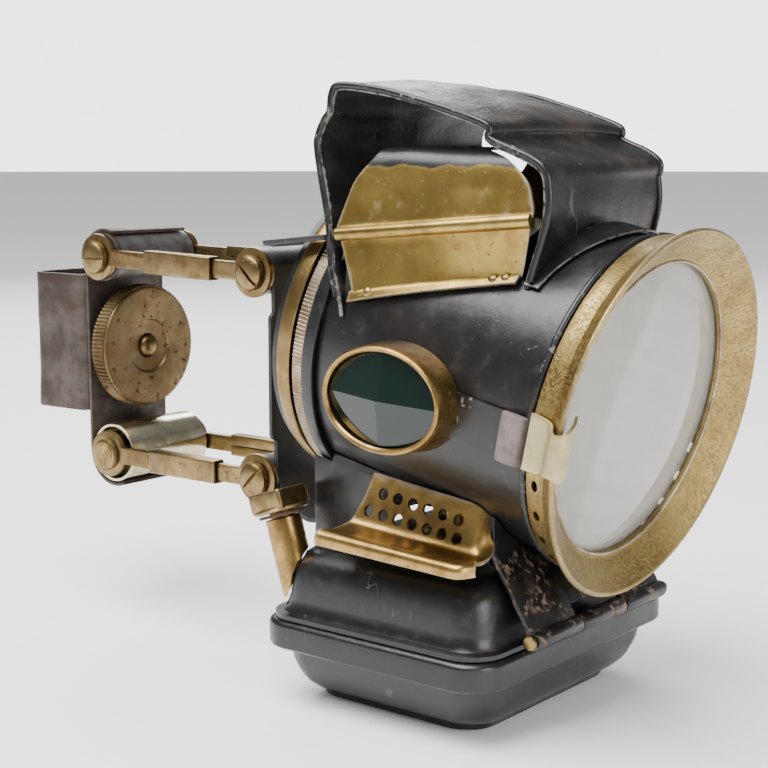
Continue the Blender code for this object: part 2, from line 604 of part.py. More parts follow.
def make_links(level, inner, outer):
    pieces = []
    along = Vector(outer) - Vector(inner)
    heading = math.atan2(along.y, along.x)
    for side, side_name in ((-1, "starboard"), (1, "port")):
        name = level + "_link_" + side_name
        low, high = sorted((side * LINK_X[0], side * LINK_X[1]))
        link = extruded(name, link_outline(inner, outer, 6.0, 2.2), low, high, BRASS,
                        rotation=ACROSS)
        for end in (inner, outer):
            cut(link, cylinder(name + "_bore_" + str(round(end[0])), PIN_R + GAP, -20, 20,
                               (0, *end), ACROSS, 14))
        middle = side * (LINK_X[0] + LINK_X[1]) / 2
        start, finish_at = 13.2, 36.2
        sleeve = extruded(level + "_sleeve_" + side_name,
                          [(start, -2.9), (finish_at, -2.9), (finish_at, 2.9), (start, 2.9)],
                          middle - 1.8, middle + 1.8, BRASS, (0, *inner), sleeve_rotation(heading))
        cut(sleeve, extruded(name + "_way", [(start - 2, -2.5), (finish_at + 2, -2.5),
                                             (finish_at + 2, 2.5), (start - 2, 2.5)],
                             middle - 1.1, middle + 1.1, BRASS, (0, *inner),
                             sleeve_rotation(heading)))
        pieces += [link, sleeve]
    return pieces


def sleeve_rotation(heading):
    """Local x along a link, z across the lamp."""
    across = Matrix(((0, 0, 1), (1, 0, 0), (0, 1, 0)))
    return (across @ Matrix.Rotation(heading, 3, "Z")).to_euler()


def pivot_pin(name, centre, slotted):
    """Screw pin through both links; the starboard head is slotted or domed."""
    end = LINK_X[1] + GAP
    head = [(0, -end - 2.0), (2.6, -end - 1.9), (4.0, -end - 1.2), (4.2, -end)]
    pin = turned(name, head + [(PIN_R, -end), (PIN_R, end), (4.2, end), (4.0, end + 1.2),
                               (2.6, end + 1.6), (0, end + 1.6)], BRASS, (0, *centre), ACROSS, 16)
    if slotted:
        y, z = centre
        slot = extruded(name + "_slot", [(-6, -0.45), (6, -0.45), (6, 0.45), (-6, 0.45)],
                        -end - 4, -end - 1.0, BRASS, (0, y, z), sleeve_rotation(math.radians(40)))
        cut(pin, slot)
    return pin


def make_spring(name, centre, radius, turns, half_length):
    """Torsion spring as a square-section coil round a pivot pin."""
    wire, steps = 0.5, 10
    sections = []
    for index in range(turns * steps + 1):
        angle = math.tau * index / steps
        x = -half_length + 2 * half_length * index / (turns * steps)
        section = []
        for offset_r, offset_x in ((-wire, -wire), (wire, -wire), (wire, wire), (-wire, wire)):
            reach = radius + offset_r
            section.append((x + offset_x, centre[0] + reach * math.cos(angle),
                            centre[1] + reach * math.sin(angle)))
        sections.append(section)
    return lofted(name, sections, STEEL, capped=True)


def make_outer_bracket():
    """Plate curled round both rollers, with the socket that takes a cycle's lamp blade."""
    upper = arc(UPPER_OUTER, 6.85, 115, 0, 10)
    lower = arc(LOWER_OUTER, 8.5, 0, -115, 10)
    plate = extruded("outer_plate", ribbon(upper + lower, 1.0), -13.3, 13.3, STEEL,
                     rotation=ACROSS)
    hole_place = (0, 100, CLAMP_Z)
    cut(plate, cylinder("plate_bore", 3.4, 0, 50, hole_place, BACKWARD))
    upper_roller = turned("upper_roller", [(5.2, -13.6), (6.0, -13.6), (6.0, 13.6), (5.2, 13.6)],
                          STEEL, (0, *UPPER_OUTER), ACROSS, 24)
    lower_roller = turned("lower_roller", [(6.8, -13.4), (7.66, -13.4), (7.66, 13.4), (6.8, 13.4)],
                          NICKEL, (0, *LOWER_OUTER), ACROSS, 24)
    outer = [(x, y) for x, y, _ in rounded_ring(13.5, 10.6, 3.6, 0, 124.6)]
    socket = extruded("socket", outer, 53.2, 89.4, STEEL)
    inside = [(x, y) for x, y, _ in rounded_ring(12.3, 9.4, 2.6, 0, 124.6)]
    cut(socket, extruded("socket_way", inside, 45, 95, STEEL))
    cut(socket, cylinder("socket_bore", 3.4, 0, 18, hole_place, BACKWARD))
    return [plate, upper_roller, lower_roller, socket]


def make_clamp():
    place = (0, 0, CLAMP_Z)
    wheel = turned("clamp_wheel", [
        (3.2, 104.8), (6.8, 104.8), (7.2, 104.0), (15.6, 104.0), (16.1, 104.5), (16.1, 109.1),
        (14.4, 109.1), (14.4, 106.2), (7.0, 106.2), (7.0, 109.1), (3.2, 109.1)],
        BRASS, place, BACKWARD, 40)
    screw = turned("clamp_screw", [(0, 103.0), (1.8, 103.3), (2.9, 104.2), (2.9, 121.1), (0, 121.1)],
                   BRASS, place, BACKWARD, 20)
    jaw = box("clamp_jaw", (-10.5, 121.5, 57.5), (10.5, 126.5, 83.0), STEEL)
    bevel = jaw.modifiers.new("edges", "BEVEL")
    bevel.width = 1.2 * MM
    bevel.segments = 1
    pivot("clamp_axis", (0, 106.5, CLAMP_Z), BACKWARD, [wheel, screw, jaw])


ENVELOPE = envelope("barrel_envelope")
CAP_CLEARANCE = cap_clearance("rear_cap_envelope")
make_barrel()
make_hood()
make_throat()
make_apron()
make_rear()
make_front()
for SIDE, SIDE_NAME, GLASS in ((-1, "starboard", "green_jewel"), (1, "port", "red_jewel")):
    make_baffle(SIDE, SIDE_NAME)
    make_vent(SIDE, SIDE_NAME)
    make_jewel(SIDE, SIDE_NAME, GLASS)

fount_pieces = make_fount()
filler_tube, filler_hole = make_filler()
fount_shell = fount_pieces[2]
cut(fount_shell, filler_hole)
burner_pieces = make_burner()
pivot("fount_hinge_axis", (0, HINGE_Y, HINGE_Z), ACROSS, fount_pieces + [filler_tube] + burner_pieces)

make_back_plate()
make_fork()
pivot_pin("upper_inner_pin", UPPER_INNER, True)
pivot_pin("lower_inner_pin", LOWER_INNER, True)
upper_pieces = make_links("upper", UPPER_INNER, UPPER_OUTER)
upper_pieces.append(pivot_pin("upper_outer_pin", UPPER_OUTER, True))
upper_pieces.append(make_spring("upper_spring", UPPER_OUTER, 4.0, 5, 10.0))
pivot("upper_link_axis", (0, *UPPER_INNER), ACROSS, upper_pieces)
lower_pieces = make_links("lower", LOWER_INNER, LOWER_OUTER)
lower_pieces.append(pivot_pin("lower_outer_pin", LOWER_OUTER, False))
lower_pieces.append(make_spring("lower_spring", LOWER_OUTER, 4.6, 5, 10.0))
pivot("lower_link_axis", (0, *LOWER_INNER), ACROSS, lower_pieces)
pivot("outer_bracket_axis", (0, *UPPER_OUTER), ACROSS, make_outer_bracket())
make_clamp()
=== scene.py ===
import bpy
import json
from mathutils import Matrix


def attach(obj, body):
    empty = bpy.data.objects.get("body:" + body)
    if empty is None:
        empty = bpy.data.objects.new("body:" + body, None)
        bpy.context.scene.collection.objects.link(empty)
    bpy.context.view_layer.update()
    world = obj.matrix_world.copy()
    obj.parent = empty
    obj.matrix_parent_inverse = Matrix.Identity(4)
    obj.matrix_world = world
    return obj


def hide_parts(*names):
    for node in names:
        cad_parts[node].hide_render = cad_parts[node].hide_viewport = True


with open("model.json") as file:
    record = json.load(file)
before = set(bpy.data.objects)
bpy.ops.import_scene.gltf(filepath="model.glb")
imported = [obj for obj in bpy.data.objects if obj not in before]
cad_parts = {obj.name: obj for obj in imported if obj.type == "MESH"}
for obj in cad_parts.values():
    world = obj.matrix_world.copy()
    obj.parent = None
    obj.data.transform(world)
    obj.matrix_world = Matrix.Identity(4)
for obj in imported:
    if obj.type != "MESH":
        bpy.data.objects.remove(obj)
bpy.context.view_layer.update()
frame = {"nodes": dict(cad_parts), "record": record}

import json
import math
import bmesh
import bpy
from mathutils import Matrix, Vector, noise

print("frame loaded:", len(frame["nodes"]), "nodes")

record = frame["record"]
bodyOf = {node: body for body, nodes in record["behaviour"]["bodies"].items() for node in nodes}
standsFor = set()     # frame nodes that already have a finished piece

# everything is drawn in millimetres and scaled to metres when a piece is finished
lamp = {"tilt": 11.87, "axis": (0.0, 8.8, 79.4), "barrel": 35.4, "gap": 0.3, "roundSteps": 144}
pivots = {"upperInner": (51.8, 93.1), "lowerInner": (51.1, 43.5),
          "upperOuter": (106.4, 94.5), "lowerOuter": (104.2, 43.3)}

tilt = math.radians(lamp["tilt"])
# local z runs forward along the barrel, y upwards, x to port
barrelPlace = Matrix.Translation(lamp["axis"]) @ Matrix((
    (1, 0, 0, 0), (0, -math.sin(tilt), -math.cos(tilt), 0),
    (0, math.cos(tilt), -math.sin(tilt), 0), (0, 0, 0, 1)))
# local x to port, y forward along the barrel, z downwards
planPlace = Matrix.Translation(lamp["axis"]) @ Matrix((
    (1, 0, 0, 0), (0, -math.cos(tilt), math.sin(tilt), 0),
    (0, -math.sin(tilt), -math.cos(tilt), 0), (0, 0, 0, 1)))
upright = Matrix.Identity(4)
bothSides = ((-1, "Starboard"), (1, "Port"))


def acrossPlace(y, z, turn=0.0):     # local x to the rear, y up, z to port
    frameAcross = Matrix(((0, 0, 1, 0), (1, 0, 0, 0), (0, 1, 0, 0), (0, 0, 0, 1)))
    return Matrix.Translation((0, y, z)) @ frameAcross @ Matrix.Rotation(turn, 4, "Z")


def rearPlace(z):                    # local z to the rear, y down
    return Matrix.Translation((0, 0, z)) @ Matrix.Rotation(-math.pi / 2, 4, "X")


def onBarrel(side, up, forward):
    return barrelPlace @ Vector((side, up, forward))


# outlines

def arcPoints(centre, radius, start, end, steps):
    points = []
    for index in range(steps + 1):
        angle = math.radians(start + (end - start) * index / steps)
        points.append((centre[0] + radius * math.cos(angle), centre[1] + radius * math.sin(angle)))
    return points


def eased(points, reach=0.3, steps=3, loop=True):     # each corner becomes a small curve
    result, count = [], len(points)
    for index in range(count):
        here = Vector(points[index])
        if not loop and index in (0, count - 1):
            result.append(tuple(here))
            continue
        before = Vector(points[index - 1]) - here
        after = Vector(points[(index + 1) % count]) - here
        if before.length < 1e-6 or after.length < 1e-6 or before.angle(after) > math.radians(172):
            result.append(tuple(here))
            continue
        near = here + before.normalized() * min(reach, before.length * 0.45)
        far = here + after.normalized() * min(reach, after.length * 0.45)
        for step in range(steps + 1):
            t = step / steps
            result.append(tuple(near * (1 - t) ** 2 + here * 2 * t * (1 - t) + far * t * t))
    return result


def ribbonOutline(path, thickness):
    left, right = [], []
    for index, point in enumerate(path):
        along = Vector(path[min(index + 1, len(path) - 1)]) - Vector(path[max(index - 1, 0)])
        side = Vector((-along.y, along.x)).normalized() * thickness / 2
        left.append((point[0] + side.x, point[1] + side.y))
        right.append((point[0] - side.x, point[1] - side.y))
    return left + right[::-1]


def roundedBox(halfX, halfY, radius, centreY=0.0, steps=10):
    points = []
    for signX, signY, start in ((1, 1, 0), (-1, 1, 90), (-1, -1, 180), (1, -1, 270)):
        centre = (signX * (halfX - radius), centreY + signY * (halfY - radius))
        points += arcPoints(centre, radius, start, start + 90, steps)
    return points


def curveThrough(points, perSpan=6):     # Catmull-Rom through every point
    dense, last = [], len(points) - 1
    for index in range(last):
        a, b = Vector(points[max(index - 1, 0)]), Vector(points[index])
        c, d = Vector(points[index + 1]), Vector(points[min(index + 2, last)])
        for step in range(perSpan):
            t = step / perSpan
            dense.append(b + 0.5 * t * (c - a + t * (2 * a - 5 * b + 4 * c - d
                                                     + t * (3 * (b - c) + d - a))))
    return dense + [Vector(points[last])]


# meshes, each returned as a bmesh in place

def placed(bm, place):
    bmesh.ops.transform(bm, matrix=place, verts=bm.verts)
    return bm


def spun(profile, place, steps=None):
    bm = bmesh.new()
    verts = [bm.verts.new((max(radius, 0), 0, height)) for radius, height in profile]
    ring = verts if profile[0][0] < 1e-6 else verts + verts[:1]
    edges = [bm.edges.new(pair) for pair in zip(ring, ring[1:])]
    bmesh.ops.spin(bm, geom=verts + edges, cent=(0, 0, 0), axis=(0, 0, 1), angle=math.tau,
                   steps=steps or lamp["roundSteps"], use_duplicate=False)
    bmesh.ops.remove_doubles(bm, verts=bm.verts, dist=1e-3)
    bmesh.ops.dissolve_degenerate(bm, edges=bm.edges, dist=1e-3)
    bmesh.ops.recalc_face_normals(bm, faces=bm.faces)
    return placed(bm, place)


def slab(outline, low, high, place=upright, edge=0.25):
    bm = bmesh.new()
    face = bm.faces.new([bm.verts.new((x, y, low)) for x, y in outline])
    pushed = bmesh.ops.extrude_face_region(bm, geom=[face])
    tops = [part for part in pushed["geom"] if isinstance(part, bmesh.types.BMVert)]
    bmesh.ops.translate(bm, vec=(0, 0, high - low), verts=tops)
    bmesh.ops.recalc_face_normals(bm, faces=bm.faces)
    if edge:
        rims = [e for e in bm.edges if e.is_manifold and e.calc_face_angle() > 1.2
                and abs(e.verts[0].co.z - e.verts[1].co.z) < 1e-6]
        bmesh.ops.bevel(bm, geom=rims, offset=edge, segments=2, profile=0.5, affect="EDGES",
                        clamp_overlap=True)
    return placed(bm, place)


def stacked(sections, place=upright, closed=True):     # sections are (outline, height)
    bm = bmesh.new()
    rings = [[bm.verts.new((x, y, height)) for x, y in outline] for outline, height in sections]
    pairs = list(zip(rings, rings[1:])) + ([] if closed else [(rings[-1], rings[0])])
    for lower, upper in pairs:
        for index in range(len(lower)):
            after = (index + 1) % len(lower)
            bm.faces.new((lower[index], lower[after], upper[after], upper[index]))
    if closed:
        bm.faces.new(rings[0])
        bm.faces.new(rings[-1])
    bmesh.ops.recalc_face_normals(bm, faces=bm.faces)
    return placed(bm, place)


def gridSheet(rows, alongSteps=6, acrossSteps=6):     # smooth skin through rows of points
    lines = [curveThrough(row, acrossSteps) for row in rows]
    columns = [curveThrough([line[index] for line in lines], alongSteps)
               for index in range(len(lines[0]))]
    bm = bmesh.new()
    rim = bm.verts.layers.float.new("rim")
    grid = [[bm.verts.new(point) for point in column] for column in columns]
    wide, deep = len(grid), len(grid[0])
    for i in range(wide):
        for j in range(deep):
            edgeStep = min(i, wide - 1 - i) / wide, min(j, deep - 1 - j) / deep
            grid[i][j][rim] = max(0.0, 1 - min(edgeStep) * 12)
    for i in range(wide - 1):
        for j in range(deep - 1):
            bm.faces.new((grid[i][j], grid[i][j + 1], grid[i + 1][j + 1], grid[i + 1][j]))
    return bm


# finished pieces

def settled(bm, *modifiers):     # the mesh after its modifiers, in millimetres
    mesh = bpy.data.meshes.new("working")
    bm.to_mesh(mesh)
    bm.free()
    if not modifiers:
        return mesh
    obj = bpy.data.objects.new("working", mesh)
    bpy.context.scene.collection.objects.link(obj)
    for kind, settings in modifiers:
        modifier = obj.modifiers.new(kind.lower(), kind)
        for key, value in settings.items():
            setattr(modifier, key, value)
    bpy.context.view_layer.update()
    result = bpy.data.meshes.new_from_object(obj.evaluated_get(bpy.context.evaluated_depsgraph_get()))
    cutters = [settings["object"] for kind, settings in modifiers if "object" in settings]
    for used in {obj, *cutters}:
        bpy.data.objects.remove(used, do_unlink=True)
    return result


def cutter(bm):
    mesh = bpy.data.meshes.new("cutter")
    bm.to_mesh(mesh)
    bm.free()
    obj = bpy.data.objects.new("cutter", mesh)
    bpy.context.scene.collection.objects.link(obj)
    return obj


def minus(*shapes):
    return [("BOOLEAN", {"operation": "DIFFERENCE", "object": cutter(shape)}) for shape in shapes]


def plus(*shapes):
    return [("BOOLEAN", {"operation": "UNION", "object": cutter(shape)}) for shape in shapes]


def walled(thickness, edge=0.2, offset=-1.0):
    return [("SOLIDIFY", {"thickness": thickness, "offset": offset, "use_even_offset": True}),
            ("BEVEL", {"width": edge, "segments": 2, "limit_method": "ANGLE",
                       "angle_limit": math.radians(50)})]


def joined(*shapes):     # one bmesh from several
    bm = bmesh.new()
    for shape in shapes:
        mesh = shape if isinstance(shape, bpy.types.Mesh) else settled(shape)
        bm.from_mesh(mesh)
    return bm


def addPiece(name, shape, finish, nodes=(), body=None, smooth=35, uneven=0.0, inside=None):
    mesh = shape if isinstance(shape, bpy.types.Mesh) else settled(shape)
    if uneven:     # hand work: the metal is never quite true
        for vertex in mesh.vertices:
            swell = noise.noise(vertex.co * 0.07) + 0.5 * noise.noise(vertex.co * 0.19)
            vertex.co += vertex.normal * uneven * swell
    mesh.transform(Matrix.Scale(0.001, 4))
    mesh.shade_smooth()
    mesh.set_sharp_from_angle(angle=math.radians(smooth))
    mesh.materials.clear()
    mesh.materials.append(finishes[finish])
    if inside:
        mesh.materials.append(finishes[inside])
    mesh.name = name
    obj = bpy.data.objects.new(name, mesh)
    bpy.context.scene.collection.objects.link(obj)
    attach(obj, body or bodyOf[nodes[0]])
    if nodes:
        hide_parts(*nodes)
        standsFor.update(nodes)
    return obj


# geometry node trees

def geoTree(name, sizes):     # sizes are (name, kind) pairs; returns the tree and its input values
    tree = bpy.data.node_groups.new(name, "GeometryNodeTree")
    tree.interface.new_socket(name="Shape", in_out="INPUT", socket_type="NodeSocketGeometry")
    for label, kind in sizes:
        tree.interface.new_socket(name=label, in_out="INPUT", socket_type="NodeSocket" + kind)
    tree.interface.new_socket(name="Shape", in_out="OUTPUT", socket_type="NodeSocketGeometry")
    entry = tree.nodes.new("NodeGroupInput")
    return tree, {socket.name: socket for socket in entry.outputs if socket.name}


def geoNode(tree, kind, settings=None, values=None, output=0):
    made = tree.nodes.new(kind)
    for key, value in (settings or {}).items():
        setattr(made, key, value)
    for key, value in (values or {}).items():
        if isinstance(value, bpy.types.NodeSocket):
            tree.links.new(value, made.inputs[key])
        else:
            made.inputs[key].default_value = value
    return made.outputs[output]


def geoEnd(tree, shape, finish):
    real = geoNode(tree, "GeometryNodeRealizeInstances", values={0: shape})
    dressed = geoNode(tree, "GeometryNodeSetMaterial", values={"Geometry": real, "Material": finish})
    leave = tree.nodes.new("NodeGroupOutput")
    tree.links.new(dressed, leave.inputs[0])


def grown(tree, values, bm=None, place=upright):     # runs a tree and gives its plain mesh
    mesh = bm if isinstance(bm, bpy.types.Mesh) else bpy.data.meshes.new("seed")
    if isinstance(bm, bmesh.types.BMesh):
        bm.to_mesh(mesh)
        bm.free()
    obj = bpy.data.objects.new("seed", mesh)
    bpy.context.scene.collection.objects.link(obj)
    modifier = obj.modifiers.new("grow", "NODES")
    modifier.node_group = tree
    for item in tree.interface.items_tree:
        if item.in_out == "INPUT" and item.name in values:
            modifier[item.identifier] = values[item.name]
    obj.update_tag()
    bpy.context.view_layer.update()
    result = bpy.data.meshes.new_from_object(obj.evaluated_get(bpy.context.evaluated_depsgraph_get()))
    bpy.data.objects.remove(obj, do_unlink=True)
    result.transform(place)
    return result


def makeRibTree():     # ribs round a rim, as on a milled edge
    tree, given = geoTree("ribbed rim", [("Ribs", "Int"), ("Rim Radius", "Float"),
                                         ("Rib Depth", "Float"), ("Rib Length", "Float"),
                                         ("Finish", "Material")])
    ring = geoNode(tree, "GeometryNodeMeshCircle", values={"Vertices": given["Ribs"],
                                                           "Radius": given["Rim Radius"]})
    size = geoNode(tree, "ShaderNodeCombineXYZ", values={"X": given["Rib Depth"],
                                                         "Y": given["Rib Depth"],
                                                         "Z": given["Rib Length"]})
    rib = geoNode(tree, "GeometryNodeMeshCube", values={"Size": size})
    rib = geoNode(tree, "GeometryNodeTransform", values={"Geometry": rib,
                                                         "Rotation": (0, 0, math.pi / 4)})
    outwards = geoNode(tree, "GeometryNodeInputPosition")
    turn = geoNode(tree, "FunctionNodeAlignRotationToVector", {"axis": "X"}, {"Vector": outwards})
    ribs = geoNode(tree, "GeometryNodeInstanceOnPoints", values={"Points": ring, "Instance": rib,
                                                                 "Rotation": turn})
    geoEnd(tree, ribs, given["Finish"])
    return tree


def makeStudTree():     # a domed stud on each point, facing the way its point says
    tree, given = geoTree("studs", [("Stud Radius", "Float"), ("Stud Height", "Float"),
                                    ("Finish", "Material")])
    ball = geoNode(tree, "GeometryNodeMeshUVSphere", values={"Segments": 20, "Rings": 10, "Radius": 1.0})
    size = geoNode(tree, "ShaderNodeCombineXYZ", values={"X": given["Stud Radius"],
                                                         "Y": given["Stud Radius"],
                                                         "Z": given["Stud Height"]})
    facing = geoNode(tree, "GeometryNodeInputNamedAttribute", {"data_type": "FLOAT_VECTOR"},
                     {"Name": "facing"})
    turn = geoNode(tree, "FunctionNodeAlignRotationToVector", {"axis": "Z"}, {"Vector": facing})
    studs = geoNode(tree, "GeometryNodeInstanceOnPoints", values={
        "Points": given["Shape"], "Instance": ball, "Rotation": turn, "Scale": size})
    geoEnd(tree, studs, given["Finish"])
    return tree


def makePunchTree():     # round or oval holes punched through a sheet at each point
    tree, given = geoTree("punched sheet", [("Points", "Object"), ("Hole Radius", "Float"),
                                            ("Hole Stretch", "Float"), ("Finish", "Material")])
    where = geoNode(tree, "GeometryNodeObjectInfo", values={"Object": given["Points"]}, output=4)
    punch = geoNode(tree, "GeometryNodeMeshCylinder", values={"Vertices": 20, "Radius": given["Hole Radius"],
                                                              "Depth": 6.0})
    size = geoNode(tree, "ShaderNodeCombineXYZ", values={"X": 1.0, "Y": given["Hole Stretch"], "Z": 1.0})
    facing, along = [geoNode(tree, "GeometryNodeInputNamedAttribute", {"data_type": "FLOAT_VECTOR"},
                             {"Name": label}) for label in ("facing", "along")]
    turn = geoNode(tree, "FunctionNodeAlignRotationToVector", {"axis": "Z"}, {"Vector": facing})
    turn = geoNode(tree, "FunctionNodeAlignRotationToVector", {"axis": "Y", "pivot_axis": "Z"},
                   {"Rotation": turn, "Vector": along})
    punches = geoNode(tree, "GeometryNodeInstanceOnPoints", values={
        "Points": where, "Instance": punch, "Rotation": turn, "Scale": size})
    punches = geoNode(tree, "GeometryNodeRealizeInstances", values={0: punches})
    holed = geoNode(tree, "GeometryNodeMeshBoolean", {"operation": "DIFFERENCE"},
                    {"Mesh 1": given["Shape"], "Mesh 2": punches})
    geoEnd(tree, holed, given["Finish"])
    return tree


def makeBeadTree():     # a round bead along a path of points
    tree, given = geoTree("bead", [("Bead Radius", "Float"), ("Finish", "Material")])
    path = geoNode(tree, "GeometryNodeMeshToCurve", values={"Mesh": given["Shape"]})
    circle = geoNode(tree, "GeometryNodeCurvePrimitiveCircle", values={"Resolution": 14,
                                                                       "Radius": given["Bead Radius"]})
    bead = geoNode(tree, "GeometryNodeCurveToMesh", values={"Curve": path, "Profile Curve": circle,
                                                            "Fill Caps": True})
    geoEnd(tree, bead, given["Finish"])
    return tree


def makeCoilTree():     # a wire coil about local z
    tree, given = geoTree("coil", [("Turns", "Float"), ("Coil Radius", "Float"), ("Length", "Float"),
                                   ("Wire Radius", "Float"), ("Finish", "Material")])
    path = geoNode(tree, "GeometryNodeCurveSpiral", values={
        "Resolution": 24, "Rotations": given["Turns"], "Start Radius": given["Coil Radius"],
        "End Radius": given["Coil Radius"], "Height": given["Length"]})
    wire = geoNode(tree, "GeometryNodeCurvePrimitiveCircle", values={"Resolution": 10,
                                                                     "Radius": given["Wire Radius"]})
    coil = geoNode(tree, "GeometryNodeCurveToMesh", values={"Curve": path, "Profile Curve": wire,
                                                            "Fill Caps": True})
    geoEnd(tree, coil, given["Finish"])
    return tree


ribTree, studTree, punchTree = makeRibTree(), makeStudTree(), makePunchTree()
beadTree, coilTree = makeBeadTree(), makeCoilTree()


def facingPoints(places):     # loose points that remember which way they face
    bm = bmesh.new()
    facing = bm.verts.layers.float_vector.new("facing")
    along = bm.verts.layers.float_vector.new("along")
    for position, direction, lengthwise in places:
        point = bm.verts.new(position)
        point[facing], point[along] = direction, lengthwise
    return bm


def punched(shape, places, radius, stretch, finish):
    points = cutter(facingPoints(places))
    mesh = grown(punchTree, {"Points": points, "Hole Radius": radius, "Hole Stretch": stretch,
                             "Finish": finishes[finish]}, shape)
    bpy.data.objects.remove(points, do_unlink=True)
    return mesh


def ribbedRim(ribs, radius, depth, length, finish, place):
    return grown(ribTree, {"Ribs": ribs, "Rim Radius": radius, "Rib Depth": depth,
                           "Rib Length": length, "Finish": finishes[finish]}, place=place)


def beadAlong(points, radius, finish):
    bm = bmesh.new()
    verts = [bm.verts.new(point) for point in points]
    for pair in zip(verts, verts[1:]):
        bm.edges.new(pair)
    return grown(beadTree, {"Bead Radius": radius, "Finish": finishes[finish]}, bm)


print("tools ready")

# materials

class Signal:     # a value on its way through a material
    def __init__(self, shade, socket):
        self.shade, self.socket = shade, socket

    def sum(self, how, first, second):
        return self.shade.node("ShaderNodeMath", {"operation": how}, {0: first, 1: second})

    def __add__(self, other):
        return self.sum("ADD", self, other)

    def __sub__(self, other):
        return self.sum("SUBTRACT", self, other)

    def __rsub__(self, other):
        return self.sum("SUBTRACT", other, self)

    def __mul__(self, other):
        return self.sum("MULTIPLY", self, other)

    __radd__, __rmul__ = __add__, __mul__


class Shade:     # one material under construction
    def __init__(self, name):
        self.material = bpy.data.materials.new(name)
        self.material.use_nodes = True
        self.tree = self.material.node_tree
        self.surface = self.tree.nodes["Principled BSDF"]
        self.where = self.node("ShaderNodeTexCoord", output=3)

    def node(self, kind, settings=None, values=None, output=0):
        made = self.tree.nodes.new(kind)
        for key, value in (settings or {}).items():
            if key == "stops":
                ends = made.color_ramp.elements
                for element, (position, colour) in zip((ends[0], ends[1]), (value[0], value[-1])):
                    element.position, element.color = position, (*colour, 1)
                for position, colour in value[1:-1]:
                    ends.new(position).color = (*colour, 1)
            else:
                setattr(made, key, value)
        for key, value in (values or {}).items():
            if isinstance(value, Signal):
                self.tree.links.new(value.socket, made.inputs[key])
            else:
                made.inputs[key].default_value = value
        return Signal(self, made.outputs[output])

    def set(self, **values):
        for key, value in values.items():
            socket = self.surface.inputs[" ".join(key.split("_"))]
            if isinstance(value, Signal):
                self.tree.links.new(value.socket, socket)
            else:
                socket.default_value = (*value, 1) if isinstance(value, tuple) else value

    def grain(self, size, detail=4.0, stretch=(1, 1, 1), shift=(0, 0, 0)):     # size in millimetres
        spot = self.node("ShaderNodeMapping", values={"Vector": self.where, "Location": shift,
                                                      "Scale": [1000 / size * s for s in stretch]})
        return self.node("ShaderNodeTexNoise", values={"Vector": spot, "Scale": 1.0, "Detail": detail,
                                                       "Roughness": 0.6})

    def step(self, value, low, high):     # 0 below low, 1 above high
        return self.node("ShaderNodeMapRange", {"interpolation_type": "SMOOTHSTEP"},
                         {"Value": value, "From Min": low, "From Max": high})

    def blend(self, amount, first, second):
        first, second = [(*c, 1) if isinstance(c, tuple) else c for c in (first, second)]
        return self.node("ShaderNodeMix", {"data_type": "RGBA"}, {0: amount, 6: first, 7: second}, 2)

    def scratches(self, spacing, width, stretch, shift=(0, 0, 0)):
        wave = self.grain(spacing, 2.0, stretch, shift)
        away = self.node("ShaderNodeMath", {"operation": "ABSOLUTE"}, {0: wave - 0.5})
        return 1 - self.step(away, width * 0.3, width)

    def bump(self, height, distance, strength=1.0):
        normal = self.node("ShaderNodeBump", values={"Height": height, "Distance": distance,
                                                     "Strength": strength})
        self.tree.links.new(normal.socket, self.surface.inputs["Normal"])


def japanFinish(name, look):     # black stoving enamel on steel
    shade = Shade(name)
    broad, middle, fine = shade.grain(26), shade.grain(5), shade.grain(0.8)
    dusty = shade.step(middle, 0.52, 0.72) * look["dust"]
    brown = shade.step(broad + 0.25 * middle, 0.62, 0.82) * look["brown"]
    rust = shade.step(shade.grain(1.6, 5.0, shift=(7, 3, 1)), look["rustAbove"], look["rustAbove"] + 0.05)
    rust = rust * shade.step(shade.grain(14, shift=(3, 9, 4)), 0.45, 0.62)
    lines = shade.scratches(11, 0.006, (1.0, 1.0, 0.2))
    lines = lines * shade.step(shade.grain(9, shift=(1, 1, 8)), 0.55, 0.65)
    rim = shade.node("ShaderNodeAttribute", {"attribute_name": "rim"}, output=2)
    worn = shade.step(rim + 0.9 * shade.grain(1.5, shift=(5, 2, 2)), 1.34, 1.5) * look["rimWear"]
    colour = shade.blend(brown, look["black"], look["brownTone"])
    colour = shade.blend(dusty, colour, look["dustTone"])
    colour = shade.blend(lines * look["scratch"], colour, (0.16, 0.15, 0.14))
    colour = shade.blend(rust, colour, look["rustTone"])
    colour = shade.blend(worn, colour, (0.36, 0.33, 0.29))
    rough = look["rough"] + 0.22 * middle + 0.25 * dusty + 0.3 * rust
    shade.set(Base_Color=colour, Roughness=rough, Metallic=0.65 * worn, Specular_IOR_Level=0.5)
    shade.bump(0.6 * shade.grain(9, 3.0) + look["orange"] * shade.grain(1.3) + 0.08 * fine - 0.4 * rust,
               0.0003, 0.55)
    return shade.material


